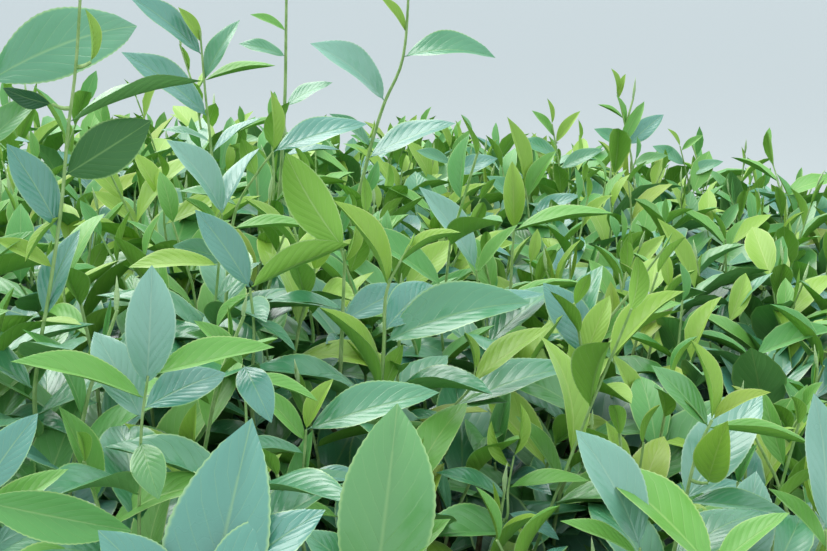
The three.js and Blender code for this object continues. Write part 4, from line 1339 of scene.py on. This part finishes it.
pale_rib = (0.36, 0.56, 0.18)
lit_rib = (0.4, 0.58, 0.36)
leaf_tones = {
    "old": [
        leaf_finish("old_leaf_deep", (0.022, 0.1, 0.04), (0.035, 0.13, 0.045), pale_rib, 0.34, 0.3, 0.7),
        leaf_finish("old_leaf_blue", (0.03, 0.12, 0.065), (0.045, 0.15, 0.07), pale_rib, 0.36, 0.3, 0.7),
        leaf_finish("old_leaf_warm", (0.045, 0.15, 0.035), (0.06, 0.18, 0.045), pale_rib, 0.4, 0.3, 0.3),
        leaf_finish("old_leaf_grey", (0.05, 0.15, 0.09), (0.065, 0.18, 0.1), pale_rib, 0.36, 0.3, 0.8),
    ],
    "grown": [
        # The blue tone is partly the leaf's own colour and partly a painted bluish sky sheen; the fourth is a
        # painted whitish sky sheen, with a rib lit to match.
        leaf_finish("grown_leaf_blue", (0.08, 0.275, 0.19), (0.11, 0.32, 0.215), pale_rib, 0.27, gloss=1.0),
        leaf_finish("grown_leaf_mid", (0.07, 0.275, 0.12), (0.1, 0.325, 0.135), pale_rib, 0.28, gloss=1.0),
        leaf_finish("grown_leaf_light", (0.1, 0.31, 0.075), (0.14, 0.36, 0.09), pale_rib, 0.3, gloss=0.9),
        leaf_finish("grown_leaf_shining", (0.19, 0.4, 0.28), (0.13, 0.33, 0.21), lit_rib, 0.24, gloss=1.0),
    ],
    "young": [
        leaf_finish("young_leaf_green", (0.115, 0.35, 0.08), (0.155, 0.4, 0.09), (0.45, 0.62, 0.22), 0.4),
        leaf_finish("young_leaf_fresh", (0.155, 0.39, 0.065), (0.2, 0.44, 0.08), (0.5, 0.64, 0.22), 0.42),
        leaf_finish("young_leaf_yellow", (0.255, 0.44, 0.045), (0.3, 0.47, 0.055), (0.55, 0.62, 0.2), 0.44),
        leaf_finish("young_leaf_golden", (0.33, 0.45, 0.055), (0.27, 0.45, 0.055), (0.58, 0.6, 0.26), 0.44),
    ],
}
leaf_undersides = {}
for kind, *finish in (
    ("old", (0.13, 0.3, 0.09), (0.17, 0.34, 0.11), (0.32, 0.46, 0.18), 0.6, 0.45, 0.3),
    ("grown", (0.18, 0.39, 0.12), (0.22, 0.43, 0.14), (0.4, 0.56, 0.2), 0.56, 0.45, 0.35),
    ("young", (0.24, 0.46, 0.06), (0.28, 0.49, 0.08), (0.52, 0.66, 0.28), 0.58, 0.45, 0.35),
):
    leaf_undersides[kind] = leaf_finish(f"{kind}_leaf_underside", *finish, relief=0.00045)
leaf_tones["wrapped"] = leaf_tones["young"]
leaf_undersides["wrapped"] = leaf_undersides["young"]
bud_down = leaf_finish("bud_down", (0.36, 0.52, 0.2), (0.5, 0.62, 0.32), (0.6, 0.7, 0.42), 0.62, 0.3, 0.4)
leaf_tones["bud"] = [bud_down] * 4
leaf_undersides["bud"] = bud_down
green_stem = wood("green_stem", (0.23, 0.38, 0.11), (0.43, 0.56, 0.24), 320, 0.3, 0.0, 0.0002)

# Leaves on their places. One node tree sets a blade on each place, turned and sized as the place says, makes
# the lot one mesh, and gives each spray its own one of four tones and each blade its underside.
tone_sockets = ("Tone A", "Tone B", "Tone C", "Tone D")


def leafing_tree():
    """Sets a blade on each point of a mesh, whose points hold how a leaf lies, its shape and its tone."""
    takes = {"Places": "Geometry", "Blades": "Collection", "Width scatter": 0.08, "Seed": 5}
    takes |= {name: "Material" for name in (*tone_sockets, "Underside")}
    tree, given, result = node_group("leafing", "GeometryNodeTree", takes, {"Leaves": "Geometry"})

    def told(name, kind):
        return add_node(tree, "GeometryNodeInputNamedAttribute", {"Name": name}, data_type=kind)

    def covered(leaves, chosen, material):
        inputs = {"Geometry": leaves, "Selection": chosen, "Material": material}
        return add_node(tree, "GeometryNodeSetMaterial", inputs)

    picked = {"Collection": given["Blades"], "Separate Children": True, "Reset Children": True}
    lie = {"Primary Axis": told("along", "FLOAT_VECTOR"), "Secondary Axis": told("face", "FLOAT_VECTOR")}
    length = told("length", "FLOAT")
    narrow, wide = (worked_out(tree, way, 1.0, given["Width scatter"]) for way in ("SUBTRACT", "ADD"))
    spread = {2: narrow, 3: wide, "Seed": given["Seed"]}
    scatter = add_node(tree, "FunctionNodeRandomValue", spread, 1, data_type="FLOAT")
    broad = worked_out(tree, "MULTIPLY", length, scatter)
    leaves = add_node(tree, "GeometryNodeInstanceOnPoints", {
        "Points": given["Places"],
        "Instance": add_node(tree, "GeometryNodeCollectionInfo", picked, transform_space="ORIGINAL"),
        "Pick Instance": True,
        "Instance Index": told("shape", "INT"),
        "Rotation": add_node(tree, "FunctionNodeAxesToRotation", lie, primary_axis="Y", secondary_axis="Z"),
        "Scale": add_node(tree, "ShaderNodeCombineXYZ", {"X": broad, "Y": length, "Z": length}),
    })
    leaves = add_node(tree, "GeometryNodeRealizeInstances", {"Geometry": leaves})
    tone = told("tone", "INT")
    for k, name in enumerate(tone_sockets):
        same = add_node(tree, "FunctionNodeCompare", {2: tone, 3: k}, data_type="INT", operation="EQUAL")
        leaves = covered(leaves, same, given[name])
    feed(result, {"Leaves": covered(leaves, told("underside", "BOOLEAN"), given["Underside"])})
    return tree


leafing = leafing_tree()


def place_mesh(name, leaves):
    """A mesh of bare points, one for each leaf, that hold how the leaf lies."""
    mesh = bpy.data.meshes.new(name)
    places, *told = zip(*leaves)
    mesh.from_pydata(places, [], [])
    for title, values in zip(("along", "face", "length", "shape", "tone"), told):
        kind = "FLOAT_VECTOR" if title in ("along", "face") else "FLOAT" if title == "length" else "INT"
        data = mesh.attributes.new(title, kind, "POINT").data
        if kind == "FLOAT_VECTOR":
            data.foreach_set("vector", [part for value in values for part in value])
        else:
            data.foreach_set("value", values)
    return mesh


for group_name, group in groups.items():
    sides = 4 if group_name.startswith("near") else 3
    for title, covering in (("twigs", twig_bark), ("stems", green_stem)):
        made_by_nodes(
            f"{group_name}_{title}",
            path_mesh(f"{group_name}_{title}_paths", group[title]),
            limb_sweep,
            {"Sides": sides, "Relief": 0.0, "Covering": covering},
            group["nodes"],
        )
    for (kind, detail), leaves in group["leaves"].items():
        made_by_nodes(
            f"{group_name}_{kind}_leaves_{detail}",
            place_mesh(f"{group_name}_{kind}_places_{detail}", leaves),
            leafing,
            {
                "Blades": blade_sets[kind, detail],
                **dict(zip(tone_sockets, leaf_tones[kind])),
                "Underside": leaf_undersides[kind],
            },
            group["nodes"],
        )
